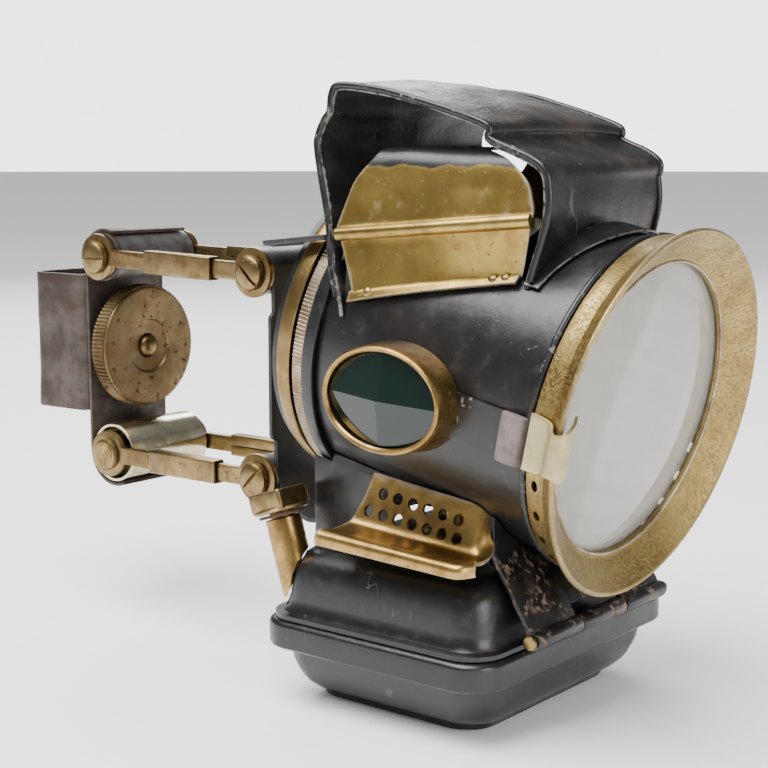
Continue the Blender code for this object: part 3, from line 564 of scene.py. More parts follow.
def metalFinish(name, look):     # aged plain metal
    shade = Shade(name)
    broad, middle, fine = shade.grain(16), shade.grain(3.6, shift=(4, 4, 4)), shade.grain(0.5)
    colour = shade.blend(shade.step(broad, 0.36, 0.64), look["bright"], look["dull"])
    stain = shade.step(middle + 0.4 * broad, 0.62, 0.86) * look["stain"]
    colour = shade.blend(stain, colour, look["stainTone"])
    spot = shade.step(shade.grain(look["spotSize"], 3.0, shift=(2, 8, 5)), look["spotAbove"],
                      look["spotAbove"] + 0.07) * look["spots"]
    colour = shade.blend(spot, colour, look["spotTone"])
    rim = shade.node("ShaderNodeAttribute", {"attribute_name": "rim"}, output=2)
    pale = shade.step(rim + 0.9 * shade.grain(3.2, 5.0, shift=(6, 1, 2)), 1.05, 1.5) * look["rimPale"]
    pale = pale + shade.step(shade.grain(5.5, 5.0, shift=(9, 9, 1)), 0.6, 0.75) * look["pale"]
    pale = shade.node("ShaderNodeClamp", values={"Value": pale})
    colour = shade.blend(pale, colour, look["paleTone"])
    rough = look["rough"] + 0.2 * middle + 0.25 * spot + 0.2 * pale
    metal = look["metal"] - 0.45 * spot - 0.55 * pale
    if "sootAbove" in look:     # smoke has blackened the top
        height = shade.node("ShaderNodeSeparateXYZ", values={0: shade.where}, output=2)
        soot = shade.step(height + 0.004 * shade.grain(7, shift=(1, 5, 2)), look["sootAbove"] + 0.0015,
                          look["sootAbove"] + 0.0025)
        colour = shade.blend(soot, colour, (0.008, 0.008, 0.008))
        metal = metal * (1 - soot)
    shade.set(Base_Color=colour, Roughness=rough, Metallic=metal)
    shade.bump(look["pitting"] * middle + 0.15 * fine - 0.5 * spot + 0.3 * pale, 0.00018, 0.5)
    return shade.material


brassLook = {"bright": (0.40, 0.28, 0.095), "dull": (0.27, 0.20, 0.075), "stain": 0.55,
             "stainTone": (0.15, 0.085, 0.032), "spots": 0.7, "spotTone": (0.03, 0.02, 0.012),
             "spotSize": 1.3, "spotAbove": 0.64, "rimPale": 0.0, "pale": 0.0,
             "paleTone": (0.42, 0.39, 0.32), "rough": 0.24, "pitting": 0.5, "metal": 1.0}
japanLook = {"black": (0.0055, 0.0055, 0.006), "dust": 0.35, "dustTone": (0.022, 0.0215, 0.021),
             "brown": 0.35, "brownTone": (0.022, 0.016, 0.012), "rustAbove": 0.66,
             "rustTone": (0.10, 0.06, 0.04), "scratch": 0.3, "rimWear": 0.45, "rough": 0.22, "orange": 0.2}

japanLooks = {     # each finish by its name and what it changes
    "japan": ("blackJapan", {}),
    "japanRoof": ("blackJapanRoof", {"brown": 0.75, "orange": 0.75, "rough": 0.3,
        "brownTone": (0.035, 0.024, 0.016)}),
    "japanPlate": ("blackJapanPlate", {"black": (0.018, 0.018, 0.019), "rough": 0.36, "dust": 0.5}),
    "japanEdge": ("wornJapanEdge", {"rustAbove": 0.56, "rustTone": (0.16, 0.145, 0.13), "rimWear": 0.4}),
    "apron": ("rustedJapan", {"rustAbove": 0.52, "dust": 0.9, "rustTone": (0.16, 0.10, 0.06)})}
metalLooks = {
    "brass": ("agedBrass", {}),
    "door": ("speckledBrass", {"bright": (0.38, 0.275, 0.095), "dull": (0.30, 0.215, 0.072),
        "spotSize": 0.7, "spots": 0.55, "spotAbove": 0.5, "spotTone": (0.15, 0.10, 0.04), "stain": 0.3,
        "rough": 0.27, "rimPale": 0.25}),
    "baffle": ("stainedBrass", {"bright": (0.40, 0.275, 0.075), "dull": (0.29, 0.21, 0.055),
        "rimPale": 0.6, "pale": 0.4, "stainTone": (0.20, 0.085, 0.03), "stain": 0.45,
        "paleTone": (0.30, 0.27, 0.21), "rough": 0.27, "sootAbove": 0.1185}),
    "vent": ("rubbedBrass", {"bright": (0.46, 0.30, 0.095), "rimPale": 0.55, "dull": (0.33, 0.21, 0.065),
        "spots": 0.4, "rough": 0.24, "paleTone": (0.34, 0.32, 0.27)}),
    "clip": ("paleBrass", {"bright": (0.56, 0.50, 0.27), "stain": 0.2, "dull": (0.48, 0.42, 0.22),
        "spots": 0.2, "rough": 0.4}),
    "link": ("brownBrass", {"bright": (0.31, 0.22, 0.095), "dull": (0.19, 0.135, 0.062), "stain": 0.7,
        "spotSize": 0.9}),
    "wheel": ("spottedBrass", {"bright": (0.25, 0.175, 0.085), "spotSize": 1.9,
        "dull": (0.165, 0.118, 0.06), "spots": 0.9, "spotAbove": 0.6, "rough": 0.36}),
    "steel": ("brownSteel", {"bright": (0.11, 0.09, 0.078), "dull": (0.055, 0.045, 0.04),
        "stainTone": (0.06, 0.035, 0.022), "pale": 0.18, "paleTone": (0.20, 0.18, 0.165), "rough": 0.42,
        "metal": 0.75, "pitting": 0.9}),
    "tube": ("mottledSteel", {"bright": (0.22, 0.21, 0.21), "pale": 0.5, "dull": (0.12, 0.11, 0.11),
        "stainTone": (0.08, 0.06, 0.05), "paleTone": (0.30, 0.28, 0.28), "rough": 0.38, "metal": 0.85}),
    "nickel": ("yellowedNickel", {"bright": (0.74, 0.70, 0.54), "stain": 0.45,
        "dull": (0.62, 0.57, 0.38), "spots": 0.5, "stainTone": (0.34, 0.27, 0.12), "spotAbove": 0.68,
        "spotSize": 0.8, "rough": 0.12, "pitting": 0.2}),
    "milled": ("brightMilling", {"bright": (0.50, 0.42, 0.30), "dull": (0.32, 0.25, 0.17), "rough": 0.3}),
    "lug": ("rustySteel", {"bright": (0.20, 0.16, 0.155), "metal": 0.35, "dull": (0.13, 0.10, 0.095),
        "stainTone": (0.10, 0.06, 0.05), "pale": 0.8, "paleTone": (0.38, 0.34, 0.34), "rough": 0.55,
        "pitting": 1.6}),
    "silver": ("tarnishedSilver", {"bright": (0.86, 0.84, 0.79), "dull": (0.74, 0.71, 0.64),
        "stainTone": (0.5, 0.44, 0.34), "stain": 0.5, "spots": 0.35, "rough": 0.22}),
    "tinned": ("tinnedInside", {"bright": (0.72, 0.69, 0.62), "dull": (0.58, 0.55, 0.49), "stain": 0.3,
        "metal": 0.6, "spots": 0.3, "rough": 0.5}),
    "beadBrass": ("beadBrass", {"bright": (0.42, 0.30, 0.09), "dull": (0.28, 0.195, 0.055), "pale": 0.2,
        "spots": 0.5}),
    "jewelBrass": ("jewelBrass", {"bright": (0.42, 0.275, 0.09), "dull": (0.26, 0.16, 0.055),
        "stain": 0.6, "spots": 0.35, "rough": 0.2}),
    "rearBrass": ("rearBrass", {"bright": (0.38, 0.26, 0.095), "dull": (0.26, 0.18, 0.07), "spots": 0.5,
        "rough": 0.24}),
    "capBrass": ("capBrass", {"bright": (0.50, 0.40, 0.20), "dull": (0.26, 0.20, 0.09), "stain": 0.7,
        "spots": 0.6, "rough": 0.28})}
finishes = {key: japanFinish(name, {**japanLook, **changes})
            for key, (name, changes) in japanLooks.items()}
for key, (name, changes) in metalLooks.items():
    finishes[key] = metalFinish(name, {**brassLook, **changes})


def plainFinish(name, colour, **settings):
    shade = Shade(name)
    tone = shade.blend(shade.step(shade.grain(settings.pop("size", 1.0)), 0.35, 0.7), colour,
                       tuple(0.7 * c for c in colour))
    shade.set(Base_Color=tone, **settings)
    return shade.material


def glassFinish(name, colour, **settings):
    shade = Shade(name)
    smear = shade.step(shade.grain(9, 3.0), 0.45, 0.75)
    shade.set(Base_Color=colour, Roughness=settings.pop("low") + settings.pop("smear") * smear, **settings)
    return shade.material


finishes["leather"] = plainFinish("oiledLeather", (0.10, 0.05, 0.025), Roughness=0.7)
finishes["cotton"] = plainFinish("cottonWick", (0.55, 0.50, 0.40), Roughness=0.95, size=0.6)
finishes["lens"] = glassFinish("lensGlass", (0.93, 0.915, 0.86), low=0.02, smear=0.07, IOR=1.5,
                               Transmission_Weight=0.8)
finishes["green"] = glassFinish("greenGlass", (0.002, 0.012, 0.008), low=0.02, smear=0.03, IOR=1.55,
                                Transmission_Weight=0.25)
finishes["red"] = glassFinish("redGlass", (0.10, 0.003, 0.003), low=0.02, smear=0.03, IOR=1.55,
                              Transmission_Weight=0.25)

print("materials ready")


# barrel

def box(low, high):
    return slab([(low[0], low[1]), (high[0], low[1]), (high[0], high[1]), (low[0], high[1])],
                low[2], high[2], edge=0)


def oval(halfLong, halfShort, steps=96):
    return [(halfLong * math.cos(math.tau * i / steps), halfShort * math.sin(math.tau * i / steps))
            for i in range(steps)]


def barrelRoom():     # the space that the barrel takes from whatever stands on it
    radius = lamp["barrel"] + lamp["gap"]
    return spun([(0, -24), (radius, -24), (radius, 55.4), (0, 55.4)], barrelPlace)


def capRoom():
    return spun([(0, -22.2), (37.2, -22.2), (37.2, -4.9), (0, -4.9)], barrelPlace)


def markRim(obj, test):     # 0 to 1, how rubbed each point is; the test is given its place in millimetres
    attributes = obj.data.attributes
    layer = attributes["rim"] if "rim" in attributes else attributes.new("rim", "FLOAT", "POINT")
    for index, vertex in enumerate(obj.data.vertices):
        layer.data[index].value = test(vertex.co * 1000)


jewelPlace = acrossPlace(-8.2, 71.6, math.radians(4))
barrelSize = {"wall": 0.9, "rear": -18.0, "front": 53.4, "jewelHole": (12.6, 8.4),
              "chimneyHole": ((-20, -27, 95), (20, 6, 130)), "throatHole": ((-22, -21, 25), (22, 20, 58))}


def makeBarrel(size):
    outer, inner = lamp["barrel"], lamp["barrel"] - size["wall"]
    tube = spun([(inner, size["rear"]), (outer, size["rear"]), (outer, size["front"]),
                 (inner, size["front"])], barrelPlace)
    mesh = settled(tube, *minus(box(*size["chimneyHole"]), box(*size["throatHole"]),
                                slab(oval(*size["jewelHole"]), -50, 50, jewelPlace, 0)))
    barrel = addPiece("barrelShell", mesh, "japan", ("barrel",), inside="tinned")
    back = barrelPlace.inverted()
    for face in barrel.data.polygons:
        spot = back @ (face.center * 1000)
        if math.hypot(spot.x, spot.y) < outer - 0.35:
            face.material_index = 1
    addPiece("barrelBead", spun(arcPoints((36.1, 50.2), 0.75, 0, 345, 14), barrelPlace),
             "japanEdge", body="lamp_body")
    strap = arcPoints((0, 0), 36.3, 178, 193.4, 10) + arcPoints((0, 0), 35.5, 193.4, 178, 10)
    addPiece("latchStrap", slab(strap, 21.5, 46.6, barrelPlace, 0.15), "japanEdge",
             body="lamp_body")


makeBarrel(barrelSize)
print("barrel made")

# hood, heat baffles and vents

hoodSize = {"sheet": 1.0, "hem": 0.8, "dent": 0.8, "ripple": 0.35, "knock": 4.8,
            "flangeFrom": 78, "flangeSweep": 60, "flangeSteps": 40, "flangeRadius": 36.45}
hoodPath = (   # y, z, half width, rise of the middle
    (8.2, 86.0, 34.9, 0.0), (8.8, 90.0, 34.9, 0.0), (10.4, 95.8, 34.8, 0.0),
    (13.4, 106.5, 32.4, 0.0), (16.0, 114.5, 31.3, 0.0),
    (18.3, 121.5, 30.2, 0.0), (18.4, 124.5, 30.0, 0.0), (17.0, 128.0, 29.6, 0.3),
    (15.5, 130.0, 29.4, 0.6), (15.2, 133.6, 29.1, 1.2), (13.2, 135.4, 28.6, 1.8),
    (2.6, 134.2, 28.0, 2.0), (-6.9, 131.8, 27.2, 2.0), (-15.5, 129.4, 26.6, 1.8),
    (-22.4, 127.0, 26.2, 1.2), (-23.6, 125.6, 26.1, 0.8), (-24.0, 123.8, 26.1, 0.4),
    (-33.0, 120.4, 26.0, 0.0), (-36.6, 118.0, 26.0, 0.0), (-37.7, 114.5, 26.0, 0.0),
    (-37.6, 108.3, 26.2, 0.0), (-34.2, 96.1, 26.8, 0.0), (-32.0, 88.0, 27.2, 0.0))


def beatenOut(spot, size):     # small dents and the unevenness of a sheet bent by hand
    ripple = noise.noise(Vector(spot) * 0.11) * size["ripple"]
    for centre, reach, depth in (((-17, -38, 112), 8, 1.2), ((16, -35, 111), 6, 1.4), ((4, -37, 110), 4, 0.5),
                                 ((-6, -30, 121), 8, 0.5), ((5, -8, 133), 14, 0.6)):
        away = (Vector(spot) - Vector(centre)).length / reach
        ripple -= depth * size["dent"] * math.exp(-away * away)
    return ripple


def knockedBack(spot, size):
    height = min(1, max(0, (122 - spot.z) / 6)) * min(1, max(0, (spot.z - 84) / 10))
    return size["knock"] * height * max(0, (spot.x + 27) / 54) ** 1.3


def makeHood(size):
    rows = []
    for y, z, half, rise in hoodPath:
        rows.append([(step / 4 * half, y, z + rise * (1 - (step / 4) ** 2)) for step in range(-4, 5)])
    skin = gridSheet(rows, 5, 6)
    skin.normal_update()
    for vertex in skin.verts:
        if vertex.co.z > 100:
            vertex.co += vertex.normal * beatenOut(vertex.co, size)
        if vertex.co.y < -20:     # the front has been knocked back on its port side
            vertex.co.y += knockedBack(vertex.co, size)
    mesh = settled(skin, *walled(size["sheet"]), *minus(barrelRoom(), capRoom()))
    addPiece("hoodShell", mesh, "japanRoof", ("hood",))
    back = barrelPlace.inverted()
    for side, label in bothSides:
        edge = curveThrough([(side * (half - 0.1), y, z) for y, z, half, rise in hoodPath], 8)
        if side > 0:
            for p in edge:
                if p.y < -20:
                    p.y += knockedBack(p, size)
        edge = [p for p in edge if math.hypot(*(back @ p)[:2]) > 36.6
                and not (math.hypot(*(back @ p)[:2]) < 38.2 and (back @ p).z < -3)]
        hem = beadAlong(edge, size["hem"], "japanEdge")
        addPiece("hoodHem" + label, hem, "japanEdge", body="lamp_body")
    flange = []
    for index in range(size["flangeSteps"] + 1):
        angle = math.radians(size["flangeFrom"] + size["flangeSweep"] * index / size["flangeSteps"])
        front = 38.4 + 1.7 * math.sin(angle) ** 4
        reach = 1.6 + 4.6 * math.sin(angle) ** 6
        side, up = size["flangeRadius"] * math.cos(angle), size["flangeRadius"] * math.sin(angle)
        flange.append([onBarrel(side, up, front + a) for a in (-1.4, reach * 0.4, reach * 0.8, reach)])
    addPiece("hoodFlange", settled(gridSheet(flange, 1, 2), *walled(0.5, 0.12)), "japan",
             body="lamp_body")


baffleSize = {"sheet": 0.7, "bead": 1.5, "rivet": 1.05, "rivetShares": (0.12, 0.86, 0.93),
              "footAngles": (17.7, 41.0), "portShort": 4.6}


def makeBaffle(side, label, size):
    rear, front = size["footAngles"]
    shares = [i / 8 for i in range(9)]

    def foot(share, lift, reach=36.4):
        angle = math.radians(rear + (front - rear) * share + lift)
        return onBarrel(side * reach * math.cos(angle), reach * math.sin(angle), 0.3 + 35.6 * share)

    rows = [[foot(share, lift) for share in shares] for lift in (0.0, 2.5, 5.0)]
    ends = (   # half width rear and front, y rear and front, z rear and front
        (32.3, 27.0, 9.4, -34.4, 102.5, 106.6), (33.2, 27.9, 9.9, -35.0, 104.2, 108.1),
        (32.3, 27.0, 10.4, -35.2, 106.0, 109.6), (31.3, 26.7, 9.0, -34.6, 110.6, 112.4),
        (30.4, 26.5, 7.0, -33.2, 115.5, 115.8), (29.2, 25.6, 3.5, -28.2, 119.6, 119.6),
        (26.0, 22.5, 2.4, -20.5, 121.6, 121.6), (15.0, 14.0, 1.4, -19.5, 121.8, 121.8))
    short = size["portShort"] if side > 0 else 0.0     # it ends behind the hood's bent side
    for xRear, xFront, yRear, yFront, zRear, zFront in ends:
        yFront += short
        rows.append([(side * (xRear + (xFront - xRear) * s), yRear + (yFront - yRear) * s,
                      zRear + (zFront - zRear) * s) for s in shares])
    if side > 0:
        rows = [row[::-1] for row in rows]
    skin = gridSheet(rows, 5, 4)
    skin.normal_update()
    for vertex in skin.verts:     # the panel has been knocked about
        vertex.co += vertex.normal * 0.3 * noise.noise(vertex.co * 0.14 + Vector((side, 0, 0)))
    addPiece("heatBaffle" + label, settled(skin, *walled(size["sheet"], 0.12)), "baffle",
             ("heat_baffle_" + label.lower(),), smooth=45)
    path = [(side * (33.5 - 5.4 * t / 12), 9.9 - (45.1 - short) * t / 12, 104.2 + 3.9 * t / 12)
            for t in range(13)]
    bead = beadAlong(path, size["bead"], "beadBrass")
    addPiece("baffleBead" + label, bead, "beadBrass", body="lamp_body",
             uneven=0.12)
    places = []
    for share in size["rivetShares"]:
        spot = foot(share, 2.4, 37.0)
        outwards = barrelPlace.to_3x3() @ Vector((*(barrelPlace.inverted() @ spot)[:2], 0))
        places.append((spot, outwards.normalized(), (0, 0, 1)))
    rivets = grown(studTree, {"Stud Radius": size["rivet"], "Stud Height": 0.6,
                              "Finish": finishes["brass"]}, facingPoints(places))
    addPiece("baffleRivets" + label, rivets, "brass", body="lamp_body")


ventSize = {"sheet": 0.8, "hole": 1.3, "upperHoles": 6, "lowerHoles": 7, "curl": 3.4}


def makeVent(side, label, size):
    profile = (   # reach from the centre, z rear, z front, y rear, y front
        (26.6, 52.6, 49.4, 5.0, -23.5), (27.8, 47.6, 45.0, 6.6, -24.2),
        (28.5, 45.4, 42.9, 7.5, -24.6), (29.2, 43.2, 40.8, 8.4, -25.0),
        (30.2, 41.7, 39.3, 9.0, -25.4), (31.6, 40.9, 38.5, 9.6, -25.8),
        (34.6, 40.1, 38.1, 10.8, -26.3), (36.2, 40.2, 38.3, 11.4, -26.5),
        (37.4, 40.4, 38.7, 11.8, -26.6), (38.3, 40.1, 38.4, 12.0, -26.7),
        (38.6, 39.3, 37.6, 12.0, -26.7), (38.4, 38.0, 36.6, 12.0, -26.7))
    rows = []
    for reach, zRear, zFront, yRear, yFront in profile:
        row = []
        for share in (0, 0.2, 0.4, 0.6, 0.8, 0.93, 1):
            row.append((side * (reach - (0.5 if share == 1 else 0)), yRear + (yFront + 1.2 - yRear) * share,
                        zRear + (zFront - zRear) * share))
        if reach > 29:
            row.append((side * (reach - size["curl"]), yFront - 0.3, zFront))
        else:
            row.append((side * (reach - 2.2), yFront - 0.1, zFront))
        rows.append(row)
    if side < 0:
        rows = [row[::-1] for row in rows]
    skin = gridSheet(rows, 4, 5)
    mesh = settled(skin, *walled(size["sheet"], 0.15), *minus(barrelRoom()))
    places = []
    for count, first, last, high, low, reach in (
            (size["upperHoles"], 1.75, -18.4, 48.4, 45.6, 27.7),
            (size["lowerHoles"], 4.8, -18.8, 44.5, 41.9, 28.9)):
        for index in range(count):
            share = index / (count - 1)
            places.append(((side * reach, first + (last - first) * share, high + (low - high) * share),
                           (side, 0, 0.26), (0, 1, 0)))
    mesh = punched(mesh, places, size["hole"], 1.0, "vent")
    addPiece("airVent" + label, mesh, "vent", ("air_vent_" + label.lower(),), smooth=40)


makeHood(hoodSize)
for side, label in bothSides:
    makeBaffle(side, label, baffleSize)
    makeVent(side, label, ventSize)
print("hood, baffles and vents made")

# jewels

jewelSize = {"glassLong": 13.7, "glassShort": 9.5, "peak": 43.6, "fall": 2.0}


def makeJewel(side, label, glassNode, glass, size):
    profile = ((15.6, 12.2, 27.0), (15.45, 11.7, 33.0), (15.4, 11.4, 37.0), (15.3, 11.2, 40.3),
               (15.3, 11.15, 41.6), (15.1, 10.95, 42.3), (14.75, 10.6, 42.55), (14.3, 10.1, 42.5),
               (14.0, 9.8, 42.1), (14.0, 9.8, 38.0), (14.0, 9.8, 27.0))
    ring = stacked([(oval(a, b), side * reach) for a, b, reach in profile], jewelPlace, closed=False)
    addPiece("jewelBezel" + label, settled(ring, *minus(barrelRoom())), "jewelBrass",
             ("jewel_bezel_" + label.lower(),), uneven=0.05)
    bm = bmesh.new()
    rings = []
    for share in (1.0, 0.8, 0.6, 0.4, 0.2):
        ring = []
        for x, y in oval(size["glassLong"] * share, size["glassShort"] * share, 64):
            drop = size["fall"] * (abs(x) / size["glassLong"] + abs(y) / size["glassShort"])
            ring.append(bm.verts.new((x, y, side * (size["peak"] - drop))))
        rings.append(ring)
    foot = [bm.verts.new((x, y, side * 37.4)) for x, y in oval(size["glassLong"], size["glassShort"], 64)]
    rings.insert(0, foot)
    for lower, upper in zip(rings, rings[1:]):
        for i in range(64):
            bm.faces.new((lower[i], lower[(i + 1) % 64], upper[(i + 1) % 64], upper[i]))
    tip = bm.verts.new((0, 0, side * size["peak"]))
    for i in range(64):
        bm.faces.new((rings[-1][i], rings[-1][(i + 1) % 64], tip))
    bm.faces.new(foot)
    bmesh.ops.recalc_face_normals(bm, faces=bm.faces)
    addPiece("jewelGlass" + label, placed(bm, jewelPlace), glass, (glassNode,), smooth=7)


makeJewel(-1, "Starboard", "green_jewel", "green", jewelSize)
makeJewel(1, "Port", "red_jewel", "red", jewelSize)
print("jewels made")

# front bezel, lens and catch

bezelSize = {"slots": 13, "slotStart": -18.3, "slotStep": -11.5, "slotRadius": 0.8, "slotStretch": 1.6}


def makeFront(size):
    profile = [(36.0, 51.4), (36.75, 51.4), (36.95, 53.2), (37.3, 55.8), (38.3, 57.1), (39.2, 58.2),
               (39.9, 58.9), (40.0, 59.5), (39.6, 59.95), (38.9, 59.7), (37.6, 58.6), (35.4, 57.2),
               (34.1, 56.3), (32.8, 55.4), (32.1, 55.1), (31.6, 54.8), (31.5, 54.1), (33.6, 54.4),
               (36.3, 56.2)]
    ring = spun(eased(profile, 0.22, 2), barrelPlace)
    places = []
    for index in range(size["slots"]):
        angle = math.radians(180 - size["slotStart"] - size["slotStep"] * index)
        outwards = barrelPlace.to_3x3() @ Vector((math.cos(angle), math.sin(angle), 0))
        spot = onBarrel(37.0 * math.cos(angle), 37.0 * math.sin(angle), 53.6)
        places.append((spot, outwards, barrelPlace.to_3x3() @ Vector((-math.sin(angle), math.cos(angle), 0))))
    mesh = punched(ring, places, size["slotRadius"], size["slotStretch"], "door")
    bezel = addPiece("frontBezel", mesh, "door", ("front_bezel",))
    back = barrelPlace.inverted()

    def rubbed(spot):
        here = back @ spot
        away = math.hypot(math.hypot(here.x, here.y) - 39.7, here.z - 59.6)
        return max(0.0, 1 - away / 1.6)
    markRim(bezel, rubbed)
    addPiece("bezelInnerEdge", spun(arcPoints((32.0, 55.05), 0.38, 0, 330, 11), barrelPlace),
             "milled", body="lens_door")
    domed = [(33.8 * (1 - t / 16), 57.3 - (33.8 * (1 - t / 16)) ** 2 / 282) for t in range(17)]
    addPiece("lensGlass", spun([(0, 49.9), (33.5, 49.9), (33.8, 50.2), *domed], barrelPlace),
             "lens", ("lens",))
    path = curveThrough([(37.8, 51.6), (38.3, 56.2), (40.9, 58.4), (41.4, 60.0), (40.4, 61.3),
                         (36.0, 60.1), (30.4, 57.1)], 6)
    rows = []
    for index, (x, along) in enumerate(path):
        waist = 1.5 * math.sin(math.pi * min(1, index / len(path) * 1.15)) ** 2
        low, high = -3.4 + waist, 8.2 - waist
        rows.append([(-x, along, low + (high - low) * t / 6) for t in range(7)])
    clip = placed(gridSheet(rows, 1, 2), planPlace)
    bmesh.ops.recalc_face_normals(clip, faces=clip.faces)
    addPiece("bezelClip", settled(clip, *walled(0.7, 0.15, 0.0)), "clip", ("bezel_clip",))
    lug = eased([(-36.1, 44.6), (-37.6, 44.4), (-38.6, 47.0), (-38.3, 50.0), (-36.1, 50.8)], 0.9, 4)
    mesh = settled(slab(lug, -1.6, 8.6, planPlace, 0.5), ("SUBSURF", {"levels": 2, "render_levels": 2,
                                                                      "subdivision_type": "SIMPLE"}))
    addPiece("latchLug", mesh, "lug", ("latch_lug",), uneven=0.3)


makeFront(bezelSize)
print("front made")

# rear closure

rearSize = {"ribs": 260, "rim": 36.45, "ribDepth": 0.2, "ribLength": 2.5, "ribMiddle": -9.8}


def makeRear(size):
    addPiece("rearCollar", spun(eased([(35.7, -8.3), (36.8, -8.3), (36.8, -5.2), (35.7, -5.2)], 0.3),
                                barrelPlace), "japan", ("rear_collar",))
    ribs = ribbedRim(size["ribs"], size["rim"], size["ribDepth"], size["ribLength"], "milled",
                     barrelPlace @ Matrix.Translation((0, 0, size["ribMiddle"])))
    base = spun(eased([(35.7, -11.2), (36.5, -11.2), (36.5, -8.4), (35.7, -8.4)], 0.25), barrelPlace)
    addPiece("collarMilling", joined(base, ribs), "milled", body="lamp_body")
    cap = [(0, -17.6), (30.0, -17.6), (34.6, -17.4), (36.4, -15.9), (36.7, -14.6), (36.7, -12.0),
           (35.8, -12.0), (35.7, -15.4), (34.2, -16.8), (0, -16.9)]
    addPiece("rearCap", spun([cap[0]] + eased(cap[1:-1], 0.5, 3, False) + [cap[-1]], barrelPlace),
             "rearBrass", ("rear_cap",), uneven=0.06)
    back = [(33.1 * t / 14, -16.0 + 9.6 * (t / 14) ** 2) for t in range(15)]
    front = [(r, z + 0.8) for r, z in back]
    addPiece("reflectorDish", spun(back + [(33.1, -15.9), (33.9, -15.9), (33.9, -5.6)] + front[::-1],
                                   barrelPlace), "silver", ("reflector",))


makeRear(rearSize)
print("rear made")

# oil fount

fountSize = {"cornerSteps": 10, "bandY": -1.0, "hole": 3.8}


def ringOf(halfX, halfY, radius, height, centreY=0.0):
    return roundedBox(halfX, halfY, radius, centreY, fountSize["cornerSteps"]), height


softEdge = ("BEVEL", {"width": 0.3, "segments": 2, "limit_method": "ANGLE", "angle_limit": math.radians(40)})
fillerPlace = Matrix.Translation((-31.0, 24.6, 28.3)) @ Matrix.Rotation(math.radians(-18), 4, "X")


def makeFount(size):
    y = size["bandY"]
    pan = stacked([ringOf(*row) for row in (
        (27.8, 22.5, 7.0, 0.0), (28.3, 23.0, 7.2, 1.6, -0.2), (29.0, 23.5, 7.3, 2.0, -0.3),
        (30.2, 24.4, 7.4, 2.4, -0.5), (32.0, 25.7, 7.5, 3.8, -0.7), (32.9, 26.3, 7.6, 5.0, -0.8),
        (34.0, 27.1, 7.7, 7.2, -0.9), (34.7, 27.6, 7.8, 9.0, y), (35.2, 28.0, 7.8, 12.2, y),
        (37.0, 29.2, 7.8, 12.9, y), (37.0, 29.2, 7.8, 18.4, y), (36.0, 28.2, 6.8, 18.4, y),
        (34.4, 27.2, 6.8, 13.2, y), (33.7, 26.6, 6.8, 9.0, y), (31.8, 25.2, 6.6, 5.2, -0.8),
        (27.4, 22.0, 6.4, 2.6, -0.2))])
    piece = addPiece("fountPan", settled(pan, softEdge), "japan", ("fount_pan",), uneven=0.12)
    markRim(piece, lambda spot: 0.75 if spot.z < 1.9 else 0.0)
    band = stacked([ringOf(*row) for row in (
        (38.7, 30.5, 8.0, 12.55, y), (39.2, 31.0, 8.4, 13.15, y), (39.25, 31.05, 8.4, 15.5, y),
        (39.2, 31.0, 8.4, 18.0, y), (38.5, 30.3, 8.0, 18.8, y), (37.3, 29.5, 8.0, 18.8, y),
        (37.3, 29.5, 8.0, 12.55, y))], closed=False)
    piece = addPiece("fountBand", settled(band, softEdge), "japan", ("fount_band",), uneven=0.08)
    markRim(piece, lambda spot: 0.8 if spot.z > 18.2 or spot.z < 12.9 else 0.1)
    shell = stacked([ringOf(*row) for row in (
        (38.0, 30.0, 8.0, 19.1, y), (38.0, 30.0, 8.0, 20.1, y), (36.6, 28.7, 7.7, 20.4, y),
        (35.9, 28.2, 7.6, 21.4, y), (35.7, 28.0, 7.6, 23.5, y), (35.5, 27.8, 7.7, 26.0, y),
        (35.1, 27.4, 7.8, 28.5, y), (34.75, 27.1, 8.0, 30.0, y), (34.2, 26.6, 8.2, 31.2, y),
        (33.4, 25.9, 8.4, 32.4, y), (32.2, 24.8, 8.6, 33.4, y), (31.0, 23.7, 8.6, 34.1, y),
        (29.6, 22.4, 8.6, 34.5, y), (15.0, 15.0, 12.0, 34.5, y), (15.0, 15.0, 12.0, 33.5, y),
        (29.2, 22.0, 8.0, 33.5, y), (31.5, 24.1, 8.0, 32.5, y), (33.2, 25.6, 7.4, 30.7, y),
        (34.1, 26.4, 7.0, 28.3, y), (34.7, 27.0, 6.8, 23.5, y), (35.2, 27.4, 6.8, 19.1, y))],
        closed=False)
    hole = spun([(0, -7), (size["hole"], -7), (size["hole"], 9), (0, 9)], fillerPlace, 40)
    piece = addPiece("fountShell", settled(shell, *minus(hole)), "japan", ("fount_shell",),
                     uneven=0.15)
    markRim(piece, lambda spot: 0.7 if 19.0 < spot.z < 20.3 else 0.0)


fillerSize = {"radius": 4.1, "wall": 0.8, "length": 12.5, "square": 4.9}


